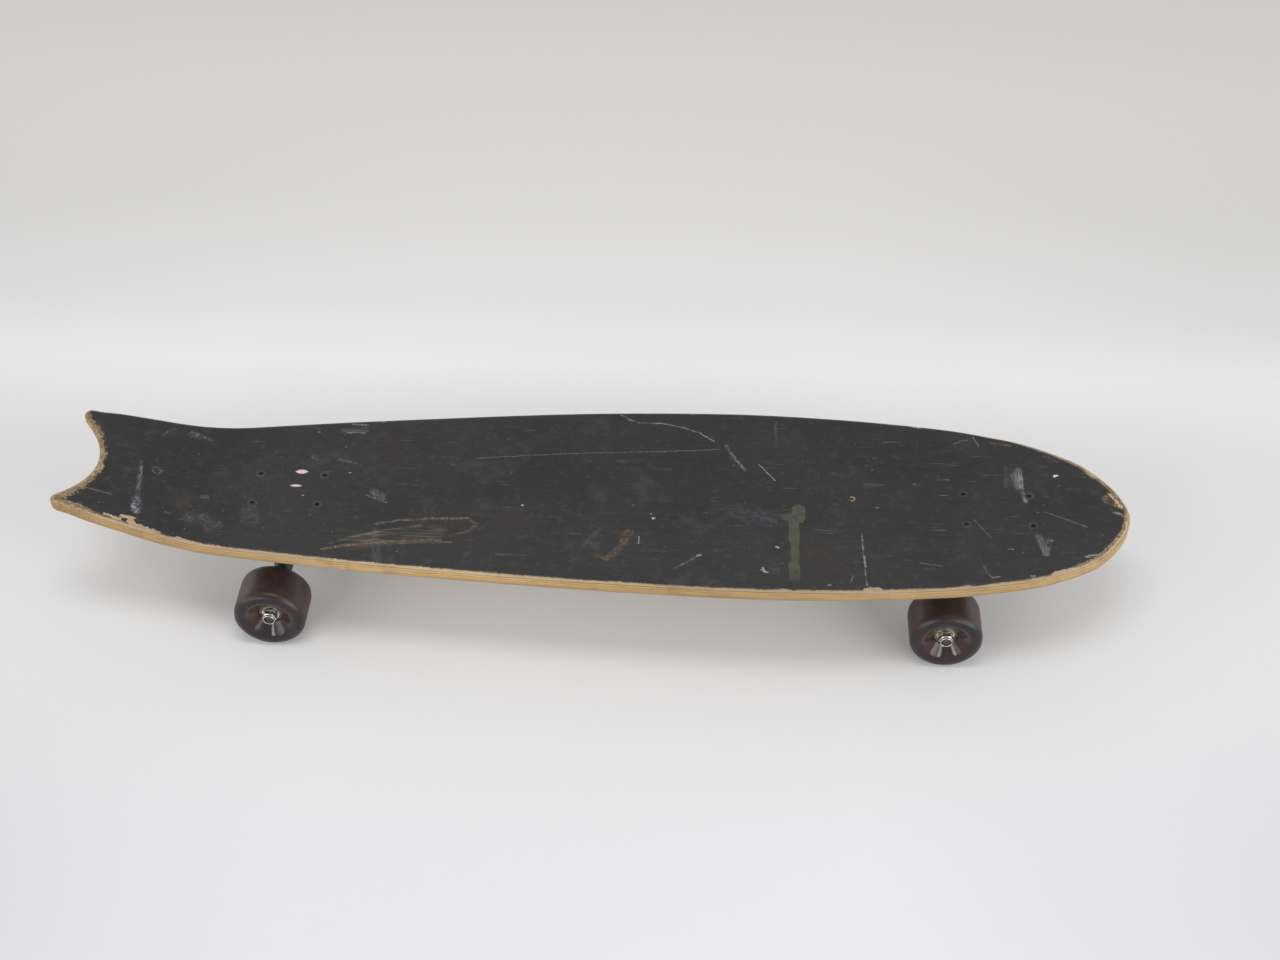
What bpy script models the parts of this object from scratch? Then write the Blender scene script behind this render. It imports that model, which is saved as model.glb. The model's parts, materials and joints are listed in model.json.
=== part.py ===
"""Longboard skateboard: a fishtail deck on two kingpin trucks with four urethane wheels.

Metres. +X points to the nose, +Y to the rider's left and +Z up. The origin is on the floor, under
the middle of the deck's length.
"""
import math
from collections import namedtuple

import bmesh
import bpy
from mathutils import Matrix, Vector

# Clearances
GAP = 0.0003
RUNNING_FIT = 0.0003

# Deck
DECK_LENGTH = 1.027
DECK_HALF_WIDTH = 0.1248
DECK_THICKNESS = 0.012
DECK_EDGE_RADIUS = 0.004
DECK_CONCAVE_HEIGHT = 0.0048
DECK_CAMBER_HEIGHT = 0.0015
# Outline from the tail to the nose: share of the length, share of the largest half width
DECK_SIDE = (
    (0.0351, 0.582), (0.0935, 0.638), (0.1714, 0.718), (0.2493, 0.792), (0.3272, 0.854),
    (0.4051, 0.909), (0.4830, 0.955), (0.5609, 0.985), (0.6436, 1.000), (0.7167, 0.983),
    (0.7751, 0.950), (0.8335, 0.897), (0.8724, 0.836), (0.9114, 0.753), (0.9503, 0.603),
)
DECK_NOSE = ((0.9698, 0.481), (0.9859, 0.320), (0.9951, 0.176), (1.0, 0.0))
KICK_START = 0.161
KICK_BEND = 0.073
KICK_SLOPE = 0.303
TAIL_NOTCH_DEPTH = 0.027
TAIL_HALF_WIDTH = 0.068
TAIL_TIP_RADIUS = 0.008

# Deck mesh
SPAN_STEPS = 6
NOTCH_STEPS = 4
TIP_INNER_STEPS = 1
TIP_OUTER_STEPS = 3
SIDE_STEPS = 33
NOSE_STEPS = 5

# Trucks
FRONT_BOLTS_FROM_NOSE = 0.1262
REAR_BOLTS_FROM_TAIL = 0.2112
FRONT_AXLE_INBOARD = 0.0496
REAR_AXLE_INBOARD = -0.0082
BOLT_SPACING_LONG = 0.0635
BOLT_SPACING_ACROSS = 0.0413
TRUCK_HEIGHT = 0.0526
RISER_THICKNESS = 0.006
PLATE_THICKNESS = 0.006
PLATE_HALF_WIDTH = 0.0285
PLATE_CORNER_RADIUS = 0.008
PLATE_MARGIN = 0.010
HANGER_HALF_WIDTH = 0.075
HANGER_END_RADIUS = 0.0085
HANGER_MIDDLE_RADIUS = 0.011
HANGER_MIDDLE_HALF = 0.016
HANGER_TAPER_END = 0.045

# Kingpin, ring and bushings
KINGPIN_LEAN = math.radians(22.0)
STEER_ANGLE = math.radians(24.7)
RING_INBOARD = 0.020
RING_RADIUS = 0.016
RING_HALF_THICKNESS = 0.004
RING_BORE = 0.0075
RING_CHAMFER = 0.001
BUSHING_RADIUS = 0.0115
BUSHING_TIP_RADIUS = 0.0085
BUSHING_CHAMFER = 0.0015
BOARD_BUSHING = 0.012
ROAD_BUSHING = 0.011
CUP_WASHER = 0.0015
CUP_WASHER_RADIUS = 0.012
KINGPIN_RADIUS = 0.00476
KINGPIN_HEAD_RADIUS = 0.008
KINGPIN_HEAD = 0.005
KINGPIN_HEAD_DEPTH = 0.009
KINGPIN_HEAD_COVER = 0.0047
KINGPIN_NUT = 0.0075
KINGPIN_NUT_RADIUS = 0.0082
KINGPIN_TIP = 0.0015
BOSS_RADIUS = 0.0125
WEB_HALF_WIDTH = 0.009

# Pivot
PIVOT_REACH = 0.048
STEM_START = 0.029
STEM_ROOT_RADIUS = 0.0065
STEM_TIP_RADIUS = 0.0057
STEM_TIP_CHAMFER = 0.002
STEM_OVERRUN = 0.002
CUP_WALL = 0.0027
CUP_LIP = 0.001
CUP_FLOOR = 0.0015
HOUSING_RADIUS = 0.012
HOUSING_FOOT_HALF = 0.0075
HOUSING_FOOT_BACK = 0.0095
HOUSING_FOOT_FRONT = 0.0055
HOUSING_MOUTH = 0.006
HOUSING_DEPTH = 0.008

# Wheels and bearings
TYRE_RADIUS = 0.03467
TYRE_WIDTH = 0.0452
TYRE_LIP_RADIUS = 0.0066
TYRE_DISH_RADIUS = 0.023
TYRE_FACETS = 28
TYRE_LIP_STEPS = 3
CORE_BORE = 0.0085
CORE_RECESS = 0.0006
BEARING_WIDTH = 0.007
BEARING_RADIUS = 0.011
OUTER_RACE_WALL = 0.0012
INNER_RACE_WALL = 0.0011
SHIELD_THICKNESS = 0.0005
SHIELD_RECESS = 0.0003
SPACER_LENGTH = 0.010
SPEED_RING = 0.0008
SPEED_RING_RADIUS = 0.0065
AXLE_RADIUS = 0.004
AXLE_CHAMFER = 0.0006
AXLE_NUT = 0.0075
AXLE_NUT_RADIUS = 0.00733
AXLE_END_INSET = 0.0011

# Deck bolts, and the chamfer of every nut
NUT_CHAMFER = 0.0012
BOLT_RADIUS = 0.0024
BOLT_HEAD_RADIUS = 0.0045
BOLT_HEAD = 0.0022
BOLT_PROUD = 0.0015
DECK_NUT = 0.005
DECK_NUT_RADIUS = 0.0055

# Heights that follow
AXLE_Z = TYRE_RADIUS * math.cos(math.pi / TYRE_FACETS)
PLATE_TOP = AXLE_Z + TRUCK_HEIGHT
PLATE_BOTTOM = PLATE_TOP - PLATE_THICKNESS
RISER_BOTTOM = PLATE_TOP + GAP
RISER_TOP = RISER_BOTTOM + RISER_THICKNESS
DECK_BOTTOM = RISER_TOP + GAP
DECK_TOP = DECK_BOTTOM + DECK_THICKNESS

# Places along the board
NOSE_X = DECK_LENGTH / 2
TAIL_X = -DECK_LENGTH / 2
FRONT_BOLTS_X = NOSE_X - FRONT_BOLTS_FROM_NOSE
REAR_BOLTS_X = TAIL_X + REAR_BOLTS_FROM_TAIL

# Distances along the kingpin, away from the deck, from the middle of the ring
BOARD_BUSHING_END = -RING_HALF_THICKNESS - GAP
BOARD_WASHER_END = BOARD_BUSHING_END - BOARD_BUSHING - GAP
SEAT = BOARD_WASHER_END - CUP_WASHER - GAP
ROAD_WASHER_START = RING_HALF_THICKNESS + GAP + ROAD_BUSHING + GAP
KINGPIN_NUT_START = ROAD_WASHER_START + CUP_WASHER + GAP
KINGPIN_END = KINGPIN_NUT_START + KINGPIN_NUT + KINGPIN_TIP
HEAD_FLOOR = SEAT - KINGPIN_HEAD_DEPTH
HEAD_TOP = HEAD_FLOOR - GAP - KINGPIN_HEAD
RING_Z = PLATE_TOP - KINGPIN_HEAD_COVER + HEAD_TOP * math.cos(KINGPIN_LEAN)

# Distances along the axle, outward, from the middle of a wheel
BEARING_START = SPACER_LENGTH / 2 + GAP
BEARING_END = BEARING_START + BEARING_WIDTH
SPEED_RING_START = BEARING_END + GAP
SPEED_RING_END = SPEED_RING_START + SPEED_RING
AXLE_NUT_START = SPEED_RING_END + GAP
WHEEL_Y = HANGER_HALF_WIDTH + AXLE_NUT_START
AXLE_HALF = WHEEL_Y + AXLE_NUT_START + AXLE_NUT - AXLE_END_INSET
SHAFT_BORE = AXLE_RADIUS + RUNNING_FIT
INNER_RACE_RADIUS = SHAFT_BORE + INNER_RACE_WALL
OUTER_RACE_BORE = BEARING_RADIUS - OUTER_RACE_WALL

# Mesh fineness
SMALL_STEPS = 12
ROUND_STEPS = 16
FINE_STEPS = 20
HEX_STEPS = 6
CORNER_STEPS = 3
SHARP_ANGLE = math.radians(35)
WELD = 1e-7

Truck = namedtuple("Truck", "name inboard bolts_x axle_x")
TRUCKS = (
    Truck("front", -1, FRONT_BOLTS_X, FRONT_BOLTS_X - FRONT_AXLE_INBOARD),
    Truck("rear", 1, REAR_BOLTS_X, REAR_BOLTS_X + REAR_AXLE_INBOARD),
)
SIDES = (("left", 1), ("right", -1))


def clear_scene():
    """Removes what the new file holds."""
    for obj in list(bpy.data.objects):
        bpy.data.objects.remove(obj)


def material(name, colour, roughness, metallic=0.0):
    """A plain Principled material."""
    made = bpy.data.materials.new(name)
    made.use_nodes = True
    shader = made.node_tree.nodes["Principled BSDF"]
    shader.inputs["Base Color"].default_value = (*colour, 1.0)
    shader.inputs["Roughness"].default_value = roughness
    shader.inputs["Metallic"].default_value = metallic
    made.diffuse_color = (*colour, 1.0)
    return made


def materials():
    """Every finish on the board."""
    return {
        "maple": material("maple", (0.58, 0.36, 0.17), 0.5),
        "black_metal": material("black_metal", (0.02, 0.02, 0.022), 0.4, 0.6),
        "black_bolt": material("black_bolt", (0.03, 0.03, 0.03), 0.5, 0.8),
        "steel": material("steel", (0.55, 0.55, 0.54), 0.3, 1.0),
        "chrome": material("chrome", (0.75, 0.75, 0.74), 0.15, 1.0),
        "urethane": material("urethane", (0.055, 0.022, 0.018), 0.25),
        "bushing": material("bushing", (0.05, 0.05, 0.05), 0.5),
        "riser": material("riser", (0.02, 0.02, 0.02), 0.7),
    }


def frame_on(origin, direction):
    """A frame at a point, with its Z along a direction."""
    return Matrix.Translation(origin) @ direction.to_track_quat("Z", "Y").to_matrix().to_4x4()


def across_frame(origin, side):
    """A frame at a point on an axle, with its Z outward and its X along the board."""
    turn = Matrix(((1, 0, 0), (0, 0, side), (0, -side, 0))).to_4x4()
    return Matrix.Translation(origin) @ turn


def turned(profile, steps, frame=Matrix.Identity(4)):
    """A solid turned about its frame's Z. The (radius, height) points end on the axis or make a ring."""
    bm = bmesh.new()
    verts = [bm.verts.new((radius, 0.0, height)) for radius, height in profile]
    edges = [bm.edges.new(pair) for pair in zip(verts, verts[1:])]
    if profile[0][0] > 0:
        edges.append(bm.edges.new((verts[-1], verts[0])))
    bmesh.ops.spin(bm, geom=verts + edges, cent=(0, 0, 0), axis=(0, 0, 1), angle=2 * math.pi,
                   steps=steps, use_merge=True)
    bmesh.ops.remove_doubles(bm, verts=bm.verts, dist=WELD)
    bmesh.ops.recalc_face_normals(bm, faces=bm.faces)
    bmesh.ops.transform(bm, matrix=frame, verts=bm.verts)
    return bm


def ring(inner, outer, start, end, steps, frame):
    """A plain ring between two heights."""
    return turned(((inner, start), (outer, start), (outer, end), (inner, end)), steps, frame)


def rod(radius, start, end, steps, frame):
    """A plain solid cylinder between two heights."""
    return turned(((0, start), (radius, start), (radius, end), (0, end)), steps, frame)


def chamfered(radius, half, chamfer):
    """The profile of a solid disc or rod that is chamfered at both ends."""
    return ((0, -half), (radius - chamfer, -half), (radius, -half + chamfer),
            (radius, half - chamfer), (radius - chamfer, half), (0, half))


def lock_nut(bore, corner, start, end, frame):
    """A hexagonal nut with a round bore and a chamfered end, measured to its corners."""
    chamfer = corner - NUT_CHAMFER
    top = end - math.copysign(NUT_CHAMFER, end - start)
    profile = ((bore, start), (corner, start), (corner, top), (chamfer, end), (bore, end))
    bm = turned(profile, SMALL_STEPS)
    for vert in bm.verts:
        flat = vert.co.xy
        if flat.length > (bore + corner) / 2:
            turn = math.atan2(flat.y, flat.x) % (math.pi / 3) - math.pi / 6
            vert.co.xy = flat * math.cos(math.pi / 6) / math.cos(turn)
    bmesh.ops.transform(bm, matrix=frame, verts=bm.verts)
    return bm


def prism(outline, vector):
    """An outline of points in space, extruded along a vector."""
    bm = bmesh.new()
    face = bm.faces.new([bm.verts.new(point) for point in outline])
    grown = bmesh.ops.extrude_face_region(bm, geom=[face])["geom"]
    moved = [item for item in grown if isinstance(item, bmesh.types.BMVert)]
    bmesh.ops.translate(bm, verts=moved, vec=vector)
    bmesh.ops.recalc_face_normals(bm, faces=bm.faces)
    return bm


def together(bodies):
    """Several separate solids in one mesh."""
    group = bmesh.new()
    for body in bodies:
        mesh = bpy.data.meshes.new("body")
        body.to_mesh(mesh)
        body.free()
        group.from_mesh(mesh)
        bpy.data.meshes.remove(mesh)
    return group


def place(name, bm, finish, origin, parent=None):
    """Makes the named object with its origin at a point, under a parent if there is one."""
    bmesh.ops.translate(bm, verts=bm.verts, vec=-origin)
    mesh = bpy.data.meshes.new(name)
    bm.to_mesh(mesh)
    bm.free()
    mesh.shade_smooth()
    mesh.set_sharp_from_angle(angle=SHARP_ANGLE)
    if finish:
        mesh.materials.append(finish)
    obj = bpy.data.objects.new(name, mesh)
    bpy.context.collection.objects.link(obj)
    obj.location = origin - parent.location if parent else origin
    obj.parent = parent
    return obj


def helper(name, bm):
    """A hidden body that only shapes others."""
    obj = place(name, bm, None, Vector((0, 0, 0)))
    obj.hide_render = True
    obj.display_type = "WIRE"
    return obj


def shape_with(obj, other, operation):
    """Joins or cuts an object with a helper."""
    step = obj.modifiers.new(other.name, "BOOLEAN")
    step.operation = operation
    step.solver = "EXACT"
    step.object = other


def empty(name, point):
    """A point that moving pieces hang on."""
    obj = bpy.data.objects.new(name, None)
    bpy.context.collection.objects.link(obj)
    obj.location = point
    return obj


# Deck

def catmull_rom(points, before, after, steps):
    """A smooth curve through points, with the same number of steps in each span.

    The points before and after only set the directions of its two ends.
    """
    padded = [before, *points, after]
    curve = []
    for p0, p1, p2, p3 in zip(padded, padded[1:], padded[2:], padded[3:]):
        for k in range(steps):
            t = k / steps
            curve.append(0.5 * (2 * p1 + (p2 - p0) * t + (2 * p0 - 5 * p1 + 4 * p2 - p3) * t ** 2
                                + (3 * p1 - p0 - 3 * p2 + p3) * t ** 3))
    curve.append(points[-1])
    return curve


def resampled(curve, steps):
    """The same curve with equal steps along it."""
    lengths = [0.0]
    for a, b in zip(curve, curve[1:]):
        lengths.append(lengths[-1] + (b - a).length)
    result = []
    span = 0
    for k in range(steps + 1):
        goal = lengths[-1] * k / steps
        while span < len(curve) - 2 and lengths[span + 1] < goal:
            span += 1
        share = (goal - lengths[span]) / (lengths[span + 1] - lengths[span])
        result.append(curve[span].lerp(curve[span + 1], min(share, 1.0)))
    return result


def tip_point(angle):
    """A point on the round tip of the left tail horn."""
    centre = Vector((TAIL_X + TAIL_TIP_RADIUS, TAIL_HALF_WIDTH - TAIL_TIP_RADIUS))
    return centre + TAIL_TIP_RADIUS * Vector((math.cos(angle), math.sin(angle)))


def notch_angle():
    """Where the notch's parabola runs smoothly into the tip's circle."""
    low, high = math.pi, 1.5 * math.pi
    notch_x = TAIL_X + TAIL_NOTCH_DEPTH
    for _ in range(40):
        middle = (low + high) / 2
        point = tip_point(middle)
        parabola_slope = 2 * (notch_x - point.x) / point.y
        if parabola_slope > math.tan(middle - math.pi):
            low = middle
        else:
            high = middle
    return low


def arc(start, end, steps):
    """Points round the tail tip."""
    return [tip_point(start + (end - start) * k / steps) for k in range(steps + 1)]


def half_outline():
    """Three lists of points on the left half: notch to tip, tip to nose corner, nose corner to nose."""
    meet = notch_angle()
    edge = tip_point(meet)
    notch = [Vector((TAIL_X + TAIL_NOTCH_DEPTH, 0.0))]
    for k in range(1, NOTCH_STEPS + 1):
        share = k / NOTCH_STEPS
        notch_x = TAIL_X + TAIL_NOTCH_DEPTH
        notch.append(Vector((notch_x + (edge.x - notch_x) * share ** 2, edge.y * share)))
    notch += arc(meet, math.pi, TIP_INNER_STEPS)[1:]
    tip = arc(math.pi, math.pi / 2, TIP_OUTER_STEPS)
    guide = [tip[-1]] + [Vector((TAIL_X + DECK_LENGTH * along, DECK_HALF_WIDTH * wide))
                         for along, wide in (*DECK_SIDE, *DECK_NOSE)]
    # Mirrored neighbours make the curve leave the tip along the board and cross the nose square
    before = Vector((2 * guide[0].x - guide[1].x, guide[1].y))
    after = Vector((guide[-2].x, -guide[-2].y))
    curve = catmull_rom(guide, before, after, SPAN_STEPS)
    corner = len(DECK_SIDE) * SPAN_STEPS
    side = resampled(curve[:corner + 1], SIDE_STEPS)
    nose = resampled(curve[corner:], NOSE_STEPS)
    return notch, tip + side[1:], nose


def flipped(points):
    """The same points on the right half, in the other order."""
    return [Vector((point.x, -point.y)) for point in reversed(points)]


def deck_edges():
    """The four edges of the deck's grid: tail and nose run from right to left, the sides to the nose."""
    notch, side, nose = half_outline()
    tail_edge = flipped(notch) + notch[1:]
    nose_edge = flipped(nose[::-1]) + nose[-2::-1]
    right_side = [Vector((point.x, -point.y)) for point in side]
    return tail_edge, nose_edge, right_side, side


def inset_loop(loop, inset):
    """An anticlockwise loop of points, moved inward."""
    moved = []
    for before, point, after in zip(loop[-1:] + loop[:-1], loop, loop[1:] + loop[:1]):
        along = ((after - point).normalized() + (point - before).normalized()).normalized()
        moved.append(point + inset * Vector((-along.y, along.x)))
    return moved


def kick(x):
    """How far the tail has risen, and its slope."""
    back = TAIL_X + KICK_START - x
    if back <= 0:
        return 0.0, 0.0
    if back < KICK_BEND:
        return KICK_SLOPE * back ** 2 / (2 * KICK_BEND), KICK_SLOPE * back / KICK_BEND
    return KICK_SLOPE * (back - KICK_BEND / 2), KICK_SLOPE


def camber(x):
    """How far the middle of the deck has risen between the two baseplates."""
    start = TRUCKS[1].axle_x + plate_reach(TRUCKS[1])[1]
    end = TRUCKS[0].axle_x - plate_reach(TRUCKS[0])[1]
    share = (x - start) / (end - start)
    if not 0 < share < 1:
        return 0.0
    return DECK_CAMBER_HEIGHT * math.sin(math.pi * share) ** 2


def deck_point(point, drop):
    """A point on or in the deck, at a depth under its top face."""
    rise, slope = kick(point.x)
    concave = DECK_CONCAVE_HEIGHT * (point.y / DECK_HALF_WIDTH) ** 2
    top = DECK_TOP + rise + camber(point.x) + concave
    return Vector((point.x, point.y, top - drop * math.hypot(1.0, slope)))


def deck_grid(tail_edge, nose_edge, right_side, left_side):
    """Rows of points across the deck between its four edges (a Coons patch)."""
    across = len(tail_edge) - 1
    along = len(right_side) - 1
    rows = []
    for i in range(along + 1):
        u = i / along
        row = []
        for j in range(across + 1):
            v = j / across
            ruled = tail_edge[j].lerp(nose_edge[j], u) + right_side[i].lerp(left_side[i], v)
            corners = tail_edge[0].lerp(tail_edge[-1], v).lerp(nose_edge[0].lerp(nose_edge[-1], v), u)
            row.append(ruled - corners)
        rows.append(row)
    return rows


def border(rows):
    """The rim of a grid as one closed list, anticlockwise from its first corner."""
    left = [row[-1] for row in rows]
    right = [row[0] for row in rows]
    return right + rows[-1][1:] + left[-2::-1] + rows[0][-2:0:-1]


def deck_body():
    """The pressed board, with rounded edges, a kicktail and the notch."""
    tail_edge, nose_edge, right_side, left_side = deck_edges()
    loop = right_side + nose_edge[1:] + left_side[-2::-1] + tail_edge[-2:0:-1]
    flat = inset_loop(loop, DECK_EDGE_RADIUS)
    along = len(right_side)
    across = len(tail_edge)
    right_flat = flat[:along]
    nose_flat = flat[along - 1:along + across - 1]
    left_flat = flat[along + across - 2:2 * along + across - 2][::-1]
    tail_flat = [flat[0], *flat[:2 * along + across - 3:-1], left_flat[0]]
    grid = deck_grid(tail_flat, nose_flat, right_flat, left_flat)
    bm = bmesh.new()
    top = [[bm.verts.new(deck_point(point, 0.0)) for point in row] for row in grid]
    bottom = [[bm.verts.new(deck_point(point, DECK_THICKNESS)) for point in row] for row in grid]
    for upper in (top, bottom):
        for row, after in zip(upper, upper[1:]):
            for k in range(across - 1):
                bm.faces.new((row[k], after[k], after[k + 1], row[k + 1]))
    corner = DECK_EDGE_RADIUS * (1 - math.sin(math.pi / 4))
    edge_rows = ((corner, corner), (0.0, DECK_EDGE_RADIUS), (0.0, DECK_THICKNESS - DECK_EDGE_RADIUS),
                 (corner, DECK_THICKNESS - corner))
    rims = [border(top)]
    for inset, drop in edge_rows:
        rims.append([bm.verts.new(deck_point(point, drop)) for point in inset_loop(loop, inset)])
    rims.append(border(bottom))
    for upper, lower in zip(rims, rims[1:]):
        for k in range(len(upper)):
            bm.faces.new((upper[k - 1], upper[k], lower[k], lower[k - 1]))
    bmesh.ops.recalc_face_normals(bm, faces=bm.faces)
    return bm


def bolt_spots(truck):
    """The four bolt places of a truck."""
    for long_side in (-1, 1):
        for across_side in (-1, 1):
            x = truck.bolts_x + long_side * BOLT_SPACING_LONG / 2
            y = across_side * BOLT_SPACING_ACROSS / 2
            yield deck_point(Vector((x, y)), 0.0)


def bolt_hole(spot, floor):
    """A hole with its countersink, down to a height."""
    reach = BOLT_HEAD + GAP
    wide = BOLT_HEAD_RADIUS + RUNNING_FIT + GAP
    narrow = BOLT_RADIUS + RUNNING_FIT
    depth = floor - spot.z
    profile = ((0, depth), (narrow, depth), (narrow, -reach), (wide, 0), (wide, reach), (0, reach))
    return turned(profile, SMALL_STEPS, Matrix.Translation(spot))


def make_deck(finishes):
    """The deck with its eight countersunk holes."""
    deck = place("deck", deck_body(), finishes["maple"], Vector((0, 0, DECK_TOP)))
    for truck in TRUCKS:
        holes = together([bolt_hole(spot, RISER_TOP) for spot in bolt_spots(truck)])
        shape_with(deck, helper(truck.name + "_deck_holes", holes), "DIFFERENCE")


# Trucks

def spot_at(truck, inboard, z, y=0.0):
    """A point measured from a truck's axle towards the middle of the board."""
    return Vector((truck.axle_x + truck.inboard * inboard, y, z))


def kingpin_frame(truck):
    """A frame in the middle of the hanger's ring, with its Z down the kingpin."""
    down = Vector((truck.inboard * math.sin(KINGPIN_LEAN), 0, -math.cos(KINGPIN_LEAN)))
    return frame_on(spot_at(truck, RING_INBOARD, RING_Z), down)


def steer_frame(truck):
    """A frame in the middle of the ring, with its Z along the line to the pivot cup."""
    out = Vector((-truck.inboard * math.cos(STEER_ANGLE), 0, math.sin(STEER_ANGLE)))
    return frame_on(spot_at(truck, RING_INBOARD, RING_Z), out)


def plate_reach(truck):
    """The baseplate's two ends, measured from the axle: outboard, inboard."""
    bolts = truck.inboard * (truck.bolts_x - truck.axle_x)
    half = BOLT_SPACING_LONG / 2 + PLATE_MARGIN
    boss_end = RING_INBOARD + BOSS_RADIUS
    return bolts - half, max(bolts + half, boss_end)


def plate_outline(truck, z):
    """The rounded outline of a baseplate or riser pad at a height."""
    out, inn = plate_reach(truck)
    points = []
    for quarter, (inboard, side) in enumerate(((inn, 1), (out, 1), (out, -1), (inn, -1))):
        towards = 1 if inboard == inn else -1
        centre = inboard - towards * PLATE_CORNER_RADIUS
        for k in range(CORNER_STEPS + 1):
            angle = (quarter + k / CORNER_STEPS) * math.pi / 2
            u = centre + PLATE_CORNER_RADIUS * math.cos(angle)
            y = side * (PLATE_HALF_WIDTH - PLATE_CORNER_RADIUS) + PLATE_CORNER_RADIUS * math.sin(angle)
            points.append(spot_at(truck, u, z, y))
    return points


def plate_holes(truck, start, end):
    """Cutters for the four bolt holes between two heights."""
    radius = BOLT_RADIUS + RUNNING_FIT
    return [rod(radius, start, end, SMALL_STEPS, Matrix.Translation((spot.x, spot.y, 0)))
            for spot in bolt_spots(truck)]


def make_riser(truck, finishes):
    """The pad between the deck and the baseplate."""
    body = prism(plate_outline(truck, RISER_BOTTOM), Vector((0, 0, RISER_THICKNESS)))
    origin = Vector((truck.bolts_x, 0, RISER_BOTTOM))
    pad = place(truck.name + "_riser_pad", body, finishes["riser"], origin)
    holes = together(plate_holes(truck, RISER_BOTTOM - GAP, RISER_TOP + GAP))
    shape_with(pad, helper(truck.name + "_riser_holes", holes), "DIFFERENCE")


def trim_body(truck):
    """A block from the middle of the baseplate's thickness upward, wider than all that it trims."""
    out, inn = plate_reach(truck)
    reach = PIVOT_REACH + HOUSING_DEPTH + HOUSING_RADIUS
    z = PLATE_TOP - PLATE_THICKNESS / 2
    outline = [spot_at(truck, u, z, y) for u, y in (
        (inn + reach, reach), (out - reach, reach), (out - reach, -reach), (inn + reach, -reach))]
    return prism(outline, Vector((0, 0, TRUCK_HEIGHT)))


def baseplate_core(truck, pin, steer):
    """The kingpin boss, the pivot housing and its foot, trimmed inside the plate."""
    name = truck.name + "_core"
    core = helper(name, rod(BOSS_RADIUS, SEAT - TRUCK_HEIGHT, SEAT, ROUND_STEPS, pin))
    housing = rod(HOUSING_RADIUS, PIVOT_REACH - HOUSING_MOUTH, PIVOT_REACH + HOUSING_DEPTH,
                  ROUND_STEPS, steer)
    middle = steer @ Vector((0, 0, PIVOT_REACH))
    back = -truck.inboard * HOUSING_FOOT_BACK
    front = truck.inboard * HOUSING_FOOT_FRONT
    outline = [middle + Vector(corner) for corner in (
        (back, -HOUSING_FOOT_HALF, 0), (front, -HOUSING_FOOT_HALF, 0),
        (front, HOUSING_FOOT_HALF, 0), (back, HOUSING_FOOT_HALF, 0))]
    foot = prism(outline, Vector((0, 0, TRUCK_HEIGHT)))
    shape_with(core, helper(name + "_housing", housing), "UNION")
    shape_with(core, helper(name + "_foot", foot), "UNION")
    shape_with(core, helper(name + "_trim", trim_body(truck)), "DIFFERENCE")
    return core


def make_baseplate(truck, finishes):
    """The cast plate with its kingpin boss and pivot housing."""
    body = prism(plate_outline(truck, PLATE_BOTTOM), Vector((0, 0, PLATE_THICKNESS)))
    origin = Vector((truck.bolts_x, 0, PLATE_TOP))
    plate = place(truck.name + "_baseplate", body, finishes["black_metal"], origin)
    pin = kingpin_frame(truck)
    steer = steer_frame(truck)
    shape_with(plate, baseplate_core(truck, pin, steer), "UNION")
    top = SEAT - TRUCK_HEIGHT
    bore = KINGPIN_RADIUS + RUNNING_FIT
    head = KINGPIN_HEAD_RADIUS + RUNNING_FIT
    pin_hole = ((0, top), (head, top), (head, HEAD_FLOOR), (bore, HEAD_FLOOR), (bore, SEAT + GAP),
                (0, SEAT + GAP))
    cup_hole = rod(STEM_TIP_RADIUS + RUNNING_FIT + CUP_WALL + GAP, PIVOT_REACH - HOUSING_MOUTH - GAP,
                   PIVOT_REACH + STEM_OVERRUN + RUNNING_FIT + CUP_FLOOR + GAP, ROUND_STEPS, steer)
    holes = together([turned(pin_hole, ROUND_STEPS, pin), cup_hole,
                      *plate_holes(truck, PLATE_BOTTOM - GAP, PLATE_TOP + GAP)])
    shape_with(plate, helper(truck.name + "_plate_holes", holes), "DIFFERENCE")


def make_deck_fasteners(truck, finishes):
    """Four countersunk bolts, each with a lock nut under the baseplate."""
    nut_top = PLATE_BOTTOM - GAP
    tip = nut_top - DECK_NUT - BOLT_PROUD
    for number, spot in enumerate(bolt_spots(truck), 1):
        top = spot.z - GAP
        profile = ((0, tip), (BOLT_RADIUS, tip), (BOLT_RADIUS, top - BOLT_HEAD),
                   (BOLT_HEAD_RADIUS, top), (0, top))
        axis = Matrix.Translation((spot.x, spot.y, 0))
        bolt = turned(profile, SMALL_STEPS, axis)
        nut = lock_nut(BOLT_RADIUS + RUNNING_FIT, DECK_NUT_RADIUS, nut_top, nut_top - DECK_NUT, axis)
        under = Vector((spot.x, spot.y, nut_top))
        place(f"{truck.name}_deck_bolt_{number}", bolt, finishes["black_bolt"], spot)
        place(f"{truck.name}_deck_nut_{number}", nut, finishes["steel"], under)


def make_kingpin(truck, finishes):
    """The kingpin and its lock nut."""
    pin = kingpin_frame(truck)
    shank = rod(KINGPIN_RADIUS, HEAD_TOP + KINGPIN_HEAD / 2, KINGPIN_END, SMALL_STEPS, pin)
    kingpin = place(truck.name + "_kingpin", shank, finishes["steel"], pin.translation)
    cap = rod(KINGPIN_HEAD_RADIUS, HEAD_TOP, HEAD_TOP + KINGPIN_HEAD, HEX_STEPS, pin)
    shape_with(kingpin, helper(truck.name + "_kingpin_head", cap), "UNION")
    nut = lock_nut(KINGPIN_RADIUS + RUNNING_FIT, KINGPIN_NUT_RADIUS, KINGPIN_NUT_START,
                   KINGPIN_NUT_START + KINGPIN_NUT, pin)
    place(truck.name + "_kingpin_nut", nut, finishes["chrome"], pin.translation)


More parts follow.
